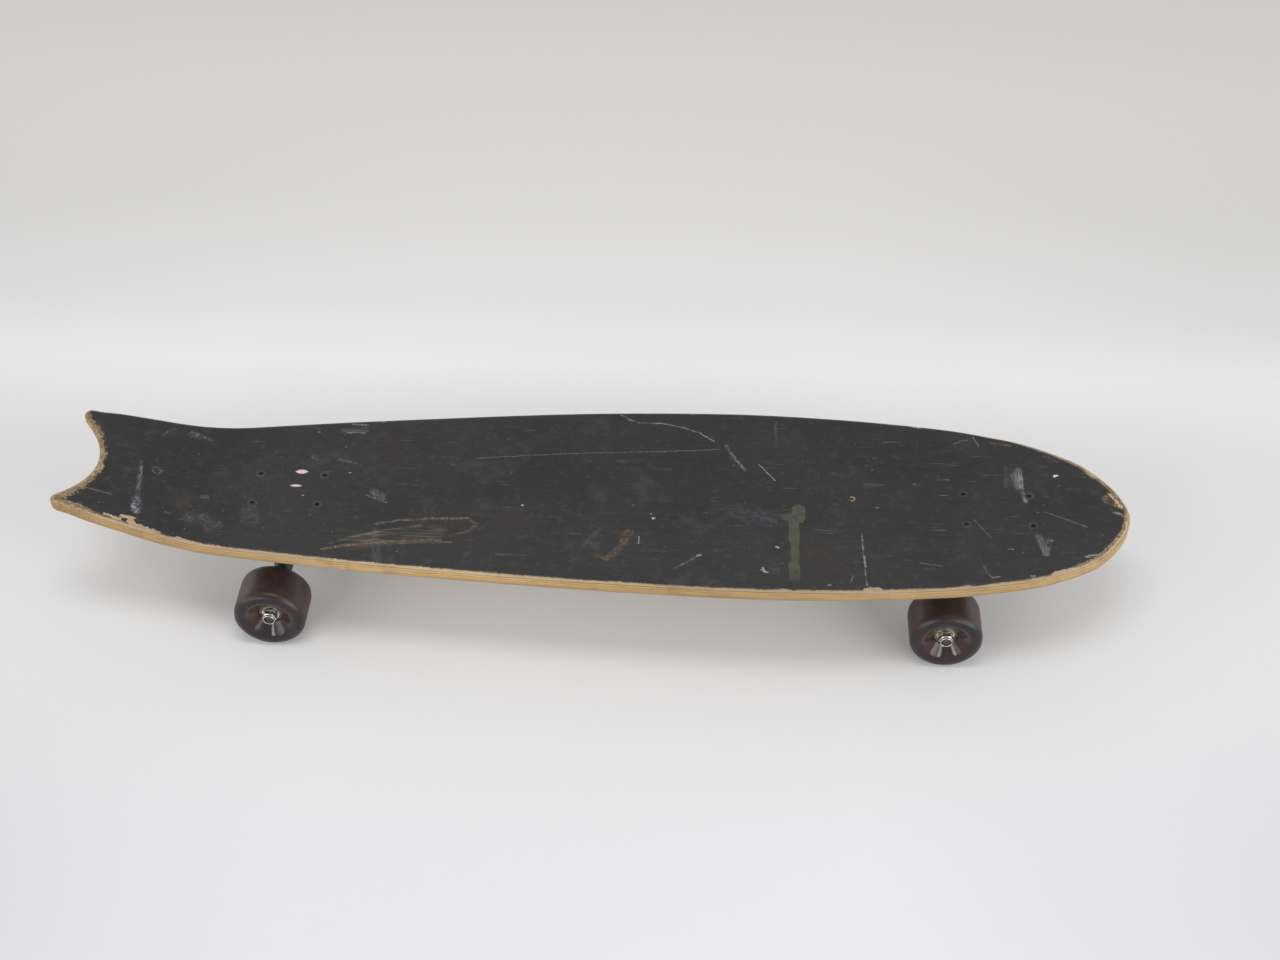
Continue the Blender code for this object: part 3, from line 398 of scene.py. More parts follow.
# Marks on the top, in millimetres along and across the deck: colour, strength, texture, half width,
# softness, points
PALE = srgb(184, 184, 180)
WHITE = srgb(232, 232, 226)
DUST = srgb(120, 120, 121)
BLUE = srgb(108, 113, 122)
NAVY = srgb(34, 36, 47)
GOLD = srgb(132, 115, 88)
OLIVE = srgb(84, 86, 76)
RUST = srgb(106, 85, 66)
BROWN = srgb(66, 58, 50)
BARE = srgb(172, 142, 98)
PINK = srgb(212, 190, 189)
GREEN = srgb(118, 146, 78)
MARKS = (
    (DUST, 0.55, "solid", 0.15, 0.5, ((-123, 50), (-41, 59), (59, 66), (119, 72))),
    (PALE, 0.55, "loose", 0.3, 0.6,
     ((17, 117), (26, 110), (37, 106), (59, 106), (82, 101), (98, 94), (112, 83))),
    (DUST, 0.8, "loose", 0.7, 1.4, ((124, 78), (133, 59), (144, 44))),
    (PALE, 0.45, "loose", 0.25, 0.6, ((127, 73), (141, 48))),
    (PALE, 0.45, "solid", 0.2, 0.6, ((157, 53), (173, 31))),
    (DUST, 0.25, "across", 0.8, 1.5, ((174, 114), (174, 79))),
    (GOLD, 0.75, "loose", 0.6, 2, ((-254, -83), (-233, -77), (-182, -69), (-144, -66))),
    (GOLD, 0.55, "along", 0.4, 1.6, ((-248, -75), (-220, -61), (-185, -51))),
    (GOLD, 0.5, "along", 0.5, 2, ((-229, -65), (-203, -56), (-166, -47))),
    (GOLD, 0.75, "loose", 0.5, 2, ((-209, -46), (-187, -40), (-148, -36), (-123, -35))),
    (GOLD, 0.4, "along", 0.4, 1.4, ((-238, -78), (-202, -66), (-155, -58))),
    (GOLD, 0.5, "along", 0.6, 2, ((-123, -35), (-112, -43), (-120, -54), (-136, -60))),
    (GOLD, 0.5, "along", 0.5, 1.8, ((-182, -72), (-134, -69))),
    (GOLD, 0.3, "along", 4, 10, ((-225, -72), (-150, -56))),
    (GOLD, 0.3, "along", 0.6, 2, ((-88, -84), (-62, -86))),
    (DUST, 0.22, "across", 1.5, 5, ((-209, -56), (-200, -96))),
    (RUST, 0.85, "loose", 3.6, 2.2, ((34, -49), (30, -60))),
    (RUST, 0.75, "loose", 2.4, 2.2, ((30, -60), (24, -74), (15, -85))),
    (RUST, 0.5, "loose", 1.8, 2, ((15, -85), (7, -81))),
    (OLIVE, 0.7, "loose", 1.2, 2.5, ((5, -45), (-7, -68))),
    (OLIVE, 0.5, "loose", 2.5, 3, ((-4, -62), (4, -68))),
    (PALE, 0.7, "solid", 0.2, 0.5, ((44, -54), (44, -63))),
    (PALE, 0.85, "solid", 0.6, 0.7, ((-71.5, -14.8), (-71, -14.8))),
    (PALE, 0.8, "solid", 0.5, 0.6, ((54, -22), (54.2, -22))),
    (PALE, 0.85, "solid", 0.8, 0.6, ((56, -28), (57, -28))),
    (DUST, 0.65, "loose", 0.4, 0.9, ((79, -96), (102, -77))),
    (PALE, 0.5, "solid", 0.6, 1.2, ((100, -78), (102.5, -76.5))),
    (BROWN, 0.3, "loose", 5, 7, ((252, 44), (258, 40))),
    (PALE, 0.6, "loose", 0.3, 0.7, ((255, -39), (256, -75), (257, -110))),
    (PALE, 0.3, "solid", 0.5, 0.8, ((256, -70), (257, -85))),
    (PALE, 0.7, "solid", 0.6, 0.8, ((174, -62), (176, -62))),
    (GOLD, 0.8, "solid", 0.5, 0.9, ((160, -93), (164, -97))),
    (PALE, 0.7, "solid", 0.4, 0.7, ((161, -91), (163, -95), (166, -97))),
    (OLIVE, 0.5, "loose", 2, 4, ((169, -94), (173, -94))),
    (DUST, 0.6, "solid", 0.8, 1.4, ((222, -111), (223, -111))),
    (DUST, 0.45, "solid", 0.3, 0.8, ((245, -97), (242, -107))),
    (DUST, 0.25, "along", 1, 2, ((211, -36), (241, -36))),
    (DUST, 0.25, "along", 1.5, 2.5, ((261, 28), (276, 31))),
    (DUST, 0.75, "across", 2.8, 2.4, ((412, 56), (411, 34))),
    (PALE, 0.4, "loose", 1.1, 2, ((412, 48), (413, 28), (415, 13))),
    (DUST, 0.45, "across", 2.2, 2, ((407, 50), (409, 32))),
    (DUST, 0.22, "loose", 0.8, 1.8, ((400, 60), (398, 32))),
    (WHITE, 0.75, "solid", 0.7, 0.8, ((446.5, 49), (449.5, 50))),
    (DUST, 0.4, "solid", 0.25, 0.8, ((432, -1), (470, -20))),
    (DUST, 0.3, "solid", 0.25, 0.8, ((363, -15), (377, -38))),
    (DUST, 0.7, "across", 2, 2.5, ((422, -36), (427, -58))),
    (DUST, 0.6, "loose", 2, 2.5, ((432, -40), (426, -60))),
    (BARE, 0.75, "loose", 2.6, 3, ((493, 18), (499, 26), (503, 13))),
    (BARE, 0.6, "loose", 1, 2, ((494, 13), (503, 9))),
    (PALE, 0.6, "along", 0.8, 1.8, ((495, 4), (506, -3))),
    (NAVY, 0.6, "loose", 4, 5, ((490, 8), (500, -2))),
    (PALE, 0.65, "along", 0.5, 1.4, ((464, -61), (474, -58))),
    (PALE, 0.5, "solid", 0.2, 0.5, ((392, -54), (397, -54))),
    (PALE, 0.5, "solid", 0.2, 0.5, ((373, -93), (380, -92))),
    (DUST, 0.3, "solid", 0.3, 1, ((308, -77), (328, -80))),
    (DUST, 0.45, "loose", 0.6, 1.2, ((367, -78), (370, -89), (374, -95))),
    (DUST, 0.6, "along", 0.4, 1, ((333, 18), (339, 18))),
    (DUST, 0.6, "along", 0.6, 1, ((334, 39), (342, 39.5))),
    (DUST, 0.5, "solid", 0.6, 1, ((271, -2), (272, -2))),
    (DUST, 0.45, "solid", 0.6, 1, ((308, 32), (310, 32))),
    (DUST, 0.35, "along", 0.5, 1.5, ((283, 90), (298, 92))),
    (DUST, 0.3, "solid", 0.3, 1, ((352, 90), (358, 95), (365, 96))),
    (DUST, 0.4, "solid", 0.3, 0.8, ((371, 101), (376, 88))),
    (BARE, 0.4, "loose", 0.6, 1.6, ((389, 93), (407, 90))),
    (DUST, 0.75, "loose", 0.7, 1.4, ((-448, 14), (-445, -6))),
    (PALE, 0.55, "across", 0.6, 0.8, ((-446, 6), (-445, -2))),
    (DUST, 0.5, "across", 0.8, 2.2, ((-445, -6), (-441, -35))),
    (BLUE, 0.6, "loose", 2.6, 3.5, ((-441, -38), (-437, -52))),
    (PALE, 0.45, "loose", 1.6, 2, ((-441, -46), (-436, -55))),
    (GOLD, 0.5, "solid", 0.2, 0.8, ((-495, -38), (-463, -39))),
    (BLUE, 0.6, "loose", 0.9, 1.8, ((-413, 68), (-392, 62))),
    (DUST, 0.5, "loose", 2.5, 2.5, ((-412, 65), (-403, 64))),
    (DUST, 0.35, "loose", 0.5, 1.2, ((-438, 54), (-434, 62), (-428, 68))),
    (DUST, 0.65, "loose", 1.8, 2.2, ((-383, -18), (-380, -17))),
    (PALE, 0.8, "loose", 0.3, 0.6, ((-260, 82), (-241, 82))),
    (PALE, 0.6, "loose", 0.4, 1, ((-255, 94), (-238, 93))),
    (PALE, 0.5, "loose", 0.5, 1.2, ((-230, 99), (-222, 99))),
    (DUST, 0.4, "along", 2, 3, ((-262, 84), (-240, 86))),
    (DUST, 0.6, "solid", 0.5, 0.8, ((-287, 81.6), (-286, 81.6))),
    (DUST, 0.5, "loose", 0.8, 1.6, ((-259, 43), (-242, 39))),
    (PALE, 0.7, "solid", 0.4, 0.6, ((-246.5, 25), (-245.5, 25))),
    (PALE, 0.6, "solid", 0.4, 0.6, ((-287, -9), (-286, -9))),
    (DUST, 0.75, "loose", 0.6, 1, ((-225, -6), (-204, -15))),
    (DUST, 0.7, "loose", 0.6, 1, ((-222, -2), (-206, -11))),
    (DUST, 0.35, "loose", 2.5, 3, ((-219, 0), (-210, -7))),
    (DUST, 0.45, "loose", 1.2, 2.4, ((-286, 46), (-282, 44))),
    (BROWN, 0.5, "loose", 6, 10, ((-404, -21), (-385, -40), (-365, -59))),
    (DUST, 0.3, "loose", 0.4, 1, ((-392, -30), (-375, -56))),
    (DUST, 0.3, "loose", 0.4, 1, ((-400, -54), (-372, -40))),
    (DUST, 0.2, "loose", 5, 9, ((-384, -48), (-366, -54))),
    (DUST, 0.2, "loose", 4, 9, ((-334, -32), (-329, -46))),
    (BLUE, 0.24, "loose", 3, 12, ((138, -14), (168, -24))),
    (BROWN, 0.25, "loose", 12, 20, ((-150, 85), (-90, 60))),
    (BROWN, 0.25, "loose", 15, 25, ((-60, -30), (20, -60))),
    (BROWN, 0.25, "loose", 10, 20, ((215, -60), (250, -80))),
    (PALE, 0.5, "loose", 0.5, 1.4, ((18, 120), (48, 121))),
    (GOLD, 0.7, "loose", 0.5, 1, ((86, 121.5), (96, 121.5))),
    (DUST, 0.4, "loose", 0.8, 1.6, ((-12, 118), (2, 119))),
    (GOLD, 0.5, "loose", 0.5, 1, ((-150, 119), (-142, 119))),
    (GREEN, 0.7, "solid", 0.5, 1.2, ((409, -90), (412, -90))),
    (PALE, 0.5, "loose", 0.5, 1, ((455, -72), (468, -67))),
    (DUST, 0.4, "loose", 0.6, 1.6, ((440, 77), (452, 70))),
    (DUST, 0.5, "loose", 0.5, 1.2, ((-431, 9), (-428, 6), (-430, 2))),
)
# A dried drip: half width, points
DRIP = (
    (6.0, ((195.5, -8), (195.5, -20))),
    (1.8, ((179.5, -18), (190, -17))),
    (3.4, ((184, -20), (192, -24))),
    (4.8, ((191, -25), (191, -50))),
    (3.6, ((191.5, -50), (191.5, -78))),
    (4.6, ((190.5, -84), (191, -106))),
)
# Round scrapes: middle, radius, colour, strength
RINGS = ((247.5, 8.9, 2.6, BARE, 0.9), (-432.1, 6.9, 4.2, DUST, 0.3))
# Lens-shaped spots: middle, half length, half width
SPOTS = ((-293.8, 24.4, 6.8, 3.2), (-296, 4.4, 6.4, 1.9))
# Bare wood at the edge of the paint: half width, points
CHIPS = (
    (3.0, ((-447, -64), (-435, -62))),
    (3.4, ((-440, -64), (-436, -71))),
    (1.8, ((-462, -66), (-448, -69))),
    (3.0, ((-430, -72), (-412, -76))),
    (3.4, ((-393, -79), (-387, -81))),
    (2.6, ((-386, -81), (-376, -84))),
    (1.6, ((172, -121), (186, -120))),
    (2.6, ((256, -115), (268, -114))),
    (1.6, ((85, -121), (90, -121))),
    (1.6, ((441, 84), (455, 77))),
    (1.4, ((497, 26), (500, 21))),
    (1.6, ((502, 18), (506, 8))),
    (1.6, ((508, -12), (509, -15))),
    (2.0, ((430, -86), (452, -78))),
    (2.6, ((-484, -9), (-481, -5))),
    (2.6, ((-500, -41), (-495, -30))),
    (1.4, ((-307, -106), (-299, -107))),
    (1.6, ((41, 122), (42, 122))),
    (2.0, ((220, 122), (223, 122))),
    (2.0, ((313, 114), (318, 113))),
    (1.6, ((88, 123), (90, 123))),
)


def frayed(look, point, scale, reach, lift):
    """A point pushed about by noise, which frays and breaks the strokes laid on it."""
    made = look.node("ShaderNodeTexNoise")
    look.put(made.inputs["Vector"], point)
    made.inputs["Scale"].default_value = scale
    made.inputs["Detail"].default_value = 2.0
    shifted = look.vector_math("ADD", point, (-reach / 2, -reach / 2, -lift / 2))
    return look.vector_math("MULTIPLY_ADD", made.outputs["Color"], (reach, reach, lift), shifted)


def strokes(look, point, group, width, softness, points):
    """The mask of a bent stroke through points."""
    mask = None
    for start, end in zip(points, points[1:]):
        values = (point, (*start, 0.0), (*end, 0.0), width, softness)
        made = look.node("ShaderNodeGroup", values, node_tree=group).outputs[0]
        mask = look.math("MAXIMUM", mask, made) if mask else made
    return mask


def deck_wood(look, place, depth, grain, haze):
    """Seven maple plies by their depth, with a grain along the board, and painted shade on the lower plies.
    """
    wobble = look.noise(place, 1, 3, 0.5, stretch=(9, 30, 60), shift=8.0)
    level = look.math("DIVIDE", look.math("MULTIPLY_ADD", wobble, 0.0012, look.math("ADD", depth, -0.0006)),
                      DECK_THICKNESS)
    cream = srgb(188, 168, 136)
    golden = srgb(190, 156, 102)
    amber = srgb(178, 144, 90)
    tan = srgb(158, 128, 84)
    # Painted shade: the lower plies are darker, for the shade on the lower rounding of the edge
    dark = srgb(122, 94, 58)
    lower = srgb(166, 138, 98)
    plies = look.ramp(level, (
        (0.00, cream), (0.065, cream), (0.085, dark), (0.10, dark), (0.12, golden), (0.24, amber),
        (0.25, dark), (0.27, dark), (0.285, golden), (0.42, golden), (0.435, tan), (0.45, amber),
        (0.56, golden), (0.575, dark), (0.59, amber), (0.71, amber), (0.725, tan), (0.74, lower),
        (0.86, lower), (0.875, tan), (0.89, lower), (1.00, srgb(190, 170, 138))))
    streaks = look.noise(place, 1, 3, 0.6, stretch=(4, 90, 90), shift=1.7)
    wood = look.mix(look.line(grain, 0.35, 0.70, 0.0, 0.35), plies, srgb(112, 86, 56))
    wood = look.mix(look.line(streaks, 0.45, 0.75, 0.0, 0.35), wood, srgb(206, 184, 146))
    return look.mix(look.step(haze, 0.50, 0.70, 0.0, 0.40), wood, srgb(116, 92, 62))


def scratches(look, place):
    """Fine faint scratches in patches, most of them along the board."""
    found = None
    for turn, shift, low in ((0.05, 2.0, 0.66), (0.40, 4.0, 0.70), (-0.30, 6.0, 0.70), (1.2, 9.0, 0.71)):
        lines = look.noise(place, 1, 2, 0.4, stretch=(40, 800, 1), turn=turn, shift=shift)
        where = look.noise(place, 17, 3, 0.6, shift=shift + 1)
        hit = look.math("MULTIPLY", look.step(lines, low, low + 0.08), look.step(where, 0.46, 0.66))
        found = look.math("MAXIMUM", found, hit) if found else hit
    return look.math("MULTIPLY", found, 0.26)


def deck_paint(look, place, flat, grain, haze, fine):
    """Near black paint, faintly streaked, hazed, scratched and marked; and its scratches."""
    group = stroke_group()
    blotch = look.noise(place, 9, 4, 0.6, shift=3.1)
    mottle = look.noise(place, 110, 4, 0.65, shift=4.4)
    warm = look.noise(place, 6, 3, 0.5, shift=9.3)
    paint = look.mix(look.line(blotch, 0.3, 0.7), srgb(28, 28, 30), srgb(38, 38, 38))
    paint = look.mix(look.step(warm, 0.50, 0.66, 0.0, 0.5), paint, srgb(41, 37, 33))
    paint = look.mix(look.line(grain, 0.40, 0.75, 0.0, 0.25), paint, srgb(56, 55, 54))
    paint = look.mix(look.step(mottle, 0.50, 0.72, 0.0, 0.42), paint, srgb(60, 58, 57))
    paint = look.mix(look.step(haze, 0.54, 0.74, 0.0, 0.50), paint, srgb(64, 63, 62))
    specks = look.step(look.noise(place, 260, 2, 0.5, shift=1.1), 0.72, 0.78, 0.0, 0.5)
    paint = look.mix(specks, paint, srgb(118, 116, 112))
    scratched = scratches(look, place)
    paint = look.mix(scratched, paint, srgb(140, 138, 134))
    across = look.noise(flat, 1, 3, 0.6, stretch=(1.3, 0.05, 1), shift=6.1)
    along = look.noise(flat, 1, 3, 0.6, stretch=(0.03, 1.1, 1), turn=-0.10, shift=2.6)
    loose = look.math("MULTIPLY", look.step(fine, 0.40, 0.60), look.step(mottle, 0.36, 0.60))
    broken = {"across": look.step(across, 0.42, 0.60), "along": look.step(along, 0.44, 0.60),
              "loose": look.line(loose, 0.0, 1.0, 0.12, 1.0)}
    point = frayed(look, flat, 0.35, 3.0, 2.5)
    for colour, strength, texture, width, softness, points in MARKS:
        mask = look.math("MULTIPLY", strokes(look, point, group, width, softness, points), strength)
        if texture in broken:
            mask = look.math("MULTIPLY", mask, broken[texture])
        paint = look.mix(mask, paint, colour)
    drip = None
    for width, points in DRIP:
        mask = strokes(look, point, group, width, 0.8, points)
        drip = look.math("MAXIMUM", drip, mask) if drip else mask
    fade = look.step(look.split(flat)[1], -112, -88, 0.15, 1.0)
    drip = look.math("MULTIPLY", drip, fade)
    drip = look.math("MULTIPLY", drip, look.line(mottle, 0.30, 0.60, 0.45, 0.95))
    paint = look.mix(drip, paint, srgb(74, 75, 62))
    for x, y, radius, colour, strength in RINGS:
        away = look.vector_math("DISTANCE", flat, (x, y, 0))
        off = look.math("ABSOLUTE", look.math("SUBTRACT", away, radius))
        patchy = look.step(look.noise(flat, 0.22, 1, 0.5, shift=radius), 0.42, 0.52)
        mask = look.math("MULTIPLY", look.step(off, 0.4, 1.0, strength, 0.0), patchy)
        paint = look.mix(mask, paint, colour)
    for x, y, length, width in SPOTS:
        away = look.vector_math("ABSOLUTE", look.vector_math(
            "MULTIPLY", look.vector_math("SUBTRACT", flat, (x, y, 0)), (1 / length, 1 / width, 0)))
        parts = look.split(away)
        lens = look.math("MULTIPLY_ADD", parts[0], parts[0], parts[1])
        paint = look.mix(look.step(lens, 0.70, 1.10, 0.95, 0.0), paint, PINK)
    return paint, scratched, group


def deck_material():
    """Worn black paint on top, seven plies at the edge and bare maple underneath."""
    look = Look("deck_maple", roughness=0.5, specular=0.33)
    place = look.place()
    flat = look.vector_math("MULTIPLY", place, (1000, 1000, 0))
    edge = look.attribute("edge_distance")
    depth = look.attribute("ply_depth")
    coarse = look.noise(place, 70, 4, 0.6)
    fine = look.noise(place, 420, 3, 0.6)
    grain = look.noise(place, 1, 4, 0.65, stretch=(14, 420, 420))
    haze = look.noise(place, 26, 5, 0.7, shift=5.2)
    wood = deck_wood(look, place, depth, grain, haze)
    paint, scratched, group = deck_paint(look, place, flat, grain, haze, fine)

    # The paint ends at a ragged line on the rounded edge, further in at the nose, tail and chips
    chipped = None
    point = frayed(look, flat, 0.45, 6.0, 4.0)
    for width, points in CHIPS:
        mask = strokes(look, point, group, width * 0.6, width * 0.5, points)
        chipped = look.math("MAXIMUM", chipped, mask) if chipped else mask
    parts = look.split(place)
    nose = look.step(parts[0], 0.38, 0.49)
    near = look.math("MULTIPLY", look.step(parts[0], -0.38, -0.46), look.step(parts[1], 0.0, -0.04))
    notch = look.math("MULTIPLY", look.step(parts[0], -0.466, -0.484), look.step(parts[1], 0.068, 0.056))
    tail = look.math("MULTIPLY_ADD", near, 0.0010, look.math("MULTIPLY", notch, 0.0026))
    dirty = look.math("ADD", look.math("MULTIPLY_ADD", nose, 0.0022, 0.0006), tail)
    far = look.math("MULTIPLY", look.step(parts[0], 0.35, 0.44), look.step(parts[1], 0.0, 0.03))
    side = look.math("MULTIPLY_ADD", far, 0.0018, look.line(parts[1], -0.04, 0.03, 0.0040, 0.0012))
    end = look.math("ADD", side, dirty)
    ragged = look.math("MULTIPLY_ADD", look.math("SUBTRACT", coarse, 0.5), 0.0022, edge)
    ragged = look.math("MULTIPLY_ADD", look.math("SUBTRACT", fine, 0.5), 0.0022, ragged)
    flaked = look.step(look.noise(place, 38, 4, 0.6, shift=2.2), 0.58, 0.70, 0.0, 0.0016)
    ragged = look.math("SUBTRACT", ragged, flaked)
    torn = look.step(look.noise(place, 120, 3, 0.7, shift=6.0), 0.44, 0.62, 0.0, 0.0034)
    ragged = look.math("SUBTRACT", ragged, look.math("MULTIPLY", notch, torn))
    ragged = look.math("MULTIPLY_ADD", chipped, -0.0100, ragged)
    beyond = look.math("SUBTRACT", ragged, end)
    painted = look.math("MULTIPLY", look.step(beyond, -0.0002, 0.0003),
                        look.step(depth, 0.0020, 0.0028, 1.0, 0.0))
    stained = look.step(look.math("ADD", beyond, dirty), -0.0006, 0.0004)
    cloudy = look.line(look.math("ADD", coarse, fine), 0.75, 1.12, 0.1, 0.95)
    stained = look.math("MULTIPLY", stained, cloudy)
    intact = look.math("SUBTRACT", 1.0, look.math("MINIMUM", look.math("MULTIPLY", chipped, 1.5), 0.85))
    stained = look.math("MULTIPLY", stained, intact)
    stained = look.math("MULTIPLY", stained, look.step(depth, 0.002, 0.004, 1.0, 0.0))
    wood = look.mix(stained, wood, srgb(96, 80, 54))
    fibres = look.math("MULTIPLY", notch, look.step(fine, 0.42, 0.62, 0.0, 0.7))
    wood = look.mix(fibres, wood, srgb(122, 102, 60))
    rim = look.math("MULTIPLY", look.step(beyond, 0.0, 0.0030, 0.40, 0.0), look.step(fine, 0.45, 0.60))
    paint = look.mix(rim, paint, srgb(104, 98, 88))
    # The wood is darker over the front half and at the tail, and in patches at the nose: a darkening that
    # follows only the place along the board
    front = look.math("MULTIPLY", look.step(parts[0], -0.20, 0.15, 0.0, 0.32),
                      look.step(parts[0], 0.34, 0.50, 1.0, 0.1))
    back = look.step(parts[0], -0.22, -0.28, 0.0, 0.22)
    darkened_by_place = look.math("MULTIPLY_ADD", look.step(haze, 0.42, 0.62, 0.0, 0.10), nose,
                       look.math("ADD", front, back))
    wood = look.mix(darkened_by_place, wood, srgb(104, 84, 58))
    colour = look.mix(painted, wood, paint)
    hazed = look.line(haze, 0.3, 0.7)
    rough = look.math("MULTIPLY_ADD", hazed, 0.12, look.line(scratched, 0, 0.3, 0.42, 0.55))
    ridges = look.bump(grain, 0.00012, 0.5)
    step = look.bump(painted, 0.0002, 0.6, ridges)
    return look.finish(colour, rough, look.bump(fine, 0.00005, 0.6, step))


def urethane_material():
    """Dark red-brown urethane: a glossy dish lightened towards its top by dust and painted light, a darker
    lip, a dull tread and dirt at the bearing.
    """
    look = Look("urethane", roughness=0.3, specular=0.42)
    place = look.place()
    worn = look.attribute("worn")
    radius = look.attribute("radius")
    cloud = look.noise(place, 60, 4, 0.6)
    fine = look.noise(place, 900, 3, 0.6)
    patches = look.noise(place, 130, 4, 0.65, shift=3.0)
    dish = look.mix(look.line(cloud, 0.38, 0.62), srgb(48, 24, 22), srgb(24, 17, 19))
    lip = look.mix(look.line(cloud, 0.35, 0.65), srgb(38, 28, 29), srgb(27, 22, 26))
    tread = look.mix(look.line(cloud, 0.35, 0.65), srgb(66, 45, 38), srgb(42, 34, 34))
    tread = look.mix(look.step(patches, 0.50, 0.72, 0.0, 0.25), tread, srgb(70, 60, 57))
    # The dish is lighter towards its top: partly dust, partly painted light that lifts the shade inside the
    # upper dish
    upper = look.step(look.split(place)[2], AXLE_Z - 0.008, AXLE_Z + 0.006, 0.10, 0.45)
    dust = look.math("MULTIPLY", look.line(patches, 0.30, 0.60, 0.4, 1.0), upper)
    dish = look.mix(dust, dish, srgb(92, 77, 70))
    colour = look.mix(look.step(radius, 0.0180, 0.0258), dish, lip)
    colour = look.mix(look.step(worn, 0.86, 1.0), colour, tread)
    dirt = look.step(radius, 0.0118, 0.0150, 0.75, 0.0)
    dirt = look.math("MULTIPLY", dirt, look.line(patches, 0.35, 0.65))
    colour = look.mix(dirt, colour, srgb(78, 62, 44))
    rough = look.ramp(worn, (
        (0.0, srgb(90, 90, 90)), (0.45, srgb(130, 130, 130)), (1.0, srgb(172, 172, 172))))
    rough = look.math("MULTIPLY_ADD", look.step(patches, 0.45, 0.70), 0.08, rough)
    return look.finish(colour, rough, look.bump(fine, 0.00003, 0.4))


def cast_material():
    """Black painted cast aluminium, faintly pebbled."""
    look = Look("black_metal", roughness=0.45)
    place = look.place()
    pebble = look.noise(place, 1400, 3, 0.6)
    cloud = look.noise(place, 45, 4, 0.65)
    colour = look.mix(look.line(cloud, 0.35, 0.7), srgb(34, 34, 35), srgb(52, 51, 50))
    dust = look.step(look.noise(place, 120, 4, 0.7, shift=3.0), 0.56, 0.75, 0.0, 0.35)
    colour = look.mix(dust, colour, srgb(98, 92, 84))
    rough = look.line(cloud, 0.3, 0.7, 0.38, 0.55)
    return look.finish(colour, rough, look.bump(pebble, 0.00008, 0.6))


def bolt_material():
    """Black oxide with a worn ring round the head."""
    look = Look("black_bolt", roughness=0.45, specular=0.4)
    place = look.place()
    radius = look.attribute("radius")
    cloud = look.noise(place, 300, 3, 0.6)
    fine = look.noise(place, 1500, 3, 0.6)
    colour = look.mix(look.line(cloud, 0.35, 0.68), srgb(44, 44, 45), srgb(34, 34, 35))
    worn = look.math("MULTIPLY", look.step(radius, 0.0034, 0.0045, 0.0, 0.75), look.line(cloud, 0.40, 0.60))
    colour = look.mix(worn, colour, srgb(112, 106, 98))
    return look.finish(colour, look.line(cloud, 0.3, 0.7, 0.38, 0.52), look.bump(fine, 0.00003, 0.5))


def metal_material(name, colours, roughness, brushed=0.0, specks=None, grime_and_shade_from=None):
    """Bare or plated metal, with faint turning marks and tarnish, and darkened beyond a radius by dirt and
    painted shade.
    """
    look = Look(name, metallic=1.0)
    place = look.place()
    cloud = look.noise(place, 160, 4, 0.6)
    fine = look.noise(place, 1500, 3, 0.6)
    colour = look.mix(look.line(cloud, 0.35, 0.68), *colours)
    if specks:
        spotted = look.step(look.noise(place, 420, 4, 0.7, shift=2.0), 0.58, 0.72, 0.0, 0.7)
        colour = look.mix(spotted, colour, specks)
    rough = look.math("MULTIPLY_ADD", fine, 0.12, look.line(cloud, 0.3, 0.7, roughness[0], roughness[1]))
    if grime_and_shade_from:
        # Painted shade and dirt: beyond the radius the metal turns dark and dull, for the dirt and the
        # shade where the bearing sits in its seat
        dull = look.math("MULTIPLY", look.step(look.attribute("radius"), grime_and_shade_from, grime_and_shade_from + 0.0012),
                         look.line(cloud, 0.30, 0.55, 0.6, 1.0))
        colour = look.mix(dull, colour, srgb(58, 46, 32))
        look.put(look.shader.inputs["Metallic"], look.math("SUBTRACT", 1.0, dull))
        rough = look.math("MULTIPLY_ADD", dull, 0.25, rough)
    turns = look.noise(look.attribute("radius"), 1.0, 3, 0.5, stretch=(9000, 1, 1))
    height = look.math("MULTIPLY_ADD", turns, brushed, fine)
    return look.finish(colour, rough, look.bump(height, 0.00003, 0.5))


def soft_material(name, colours, roughness):
    """Rubber, nylon or moulded urethane with a fine bloom."""
    look = Look(name, specular=0.4)
    place = look.place()
    cloud = look.noise(place, 90, 4, 0.6)
    fine = look.noise(place, 1300, 3, 0.6)
    colour = look.mix(look.line(cloud, 0.35, 0.68), *colours)
    rough = look.math("MULTIPLY_ADD", fine, 0.12, roughness)
    return look.finish(colour, rough, look.bump(fine, 0.00006, 0.6))


MAPLE = deck_material()
URETHANE = urethane_material()
BLACK_METAL = cast_material()
BLACK_BOLT = bolt_material()
ZINC = metal_material("zinc", (srgb(224, 224, 220), srgb(182, 182, 180)), (0.14, 0.26), 0.6,
                      srgb(116, 108, 98))
STEEL = metal_material("steel", (srgb(176, 172, 164), srgb(132, 126, 118)), (0.16, 0.30), 1.0,
                       srgb(98, 80, 60))
# The shield and race are dark beyond a radius, and the race's colours are darker than steel: dirt and
# painted shade of the bearing's seat
SHIELD = metal_material("shield", (srgb(222, 218, 206), srgb(166, 157, 138)), (0.16, 0.30), 1.0,
                        srgb(62, 50, 36), 0.0080)
RACE = metal_material("race", (srgb(160, 150, 132), srgb(96, 84, 64)), (0.25, 0.40), 1.0,
                      srgb(56, 44, 32), 0.0098)
DULL_STEEL = metal_material("dull_steel", (srgb(110, 106, 102), srgb(82, 78, 74)), (0.40, 0.55), 1.0,
                            srgb(60, 52, 44))
NYLON = soft_material("nylon", (srgb(62, 62, 62), srgb(42, 42, 42)), 0.45)
BUSHING = soft_material("bushing", (srgb(62, 60, 58), srgb(46, 45, 45)), 0.40)
RUBBER = soft_material("riser_rubber", (srgb(48, 47, 46), srgb(34, 34, 34)), 0.70)
BLACK_PLASTIC = soft_material("black_plastic", (srgb(44, 44, 44), srgb(32, 32, 32)), 0.50)


# Mesh helpers

def frame_on(origin, direction):
    """A frame at a point, with its Z along a direction."""
    return Matrix.Translation(origin) @ direction.to_track_quat("Z", "Y").to_matrix().to_4x4()


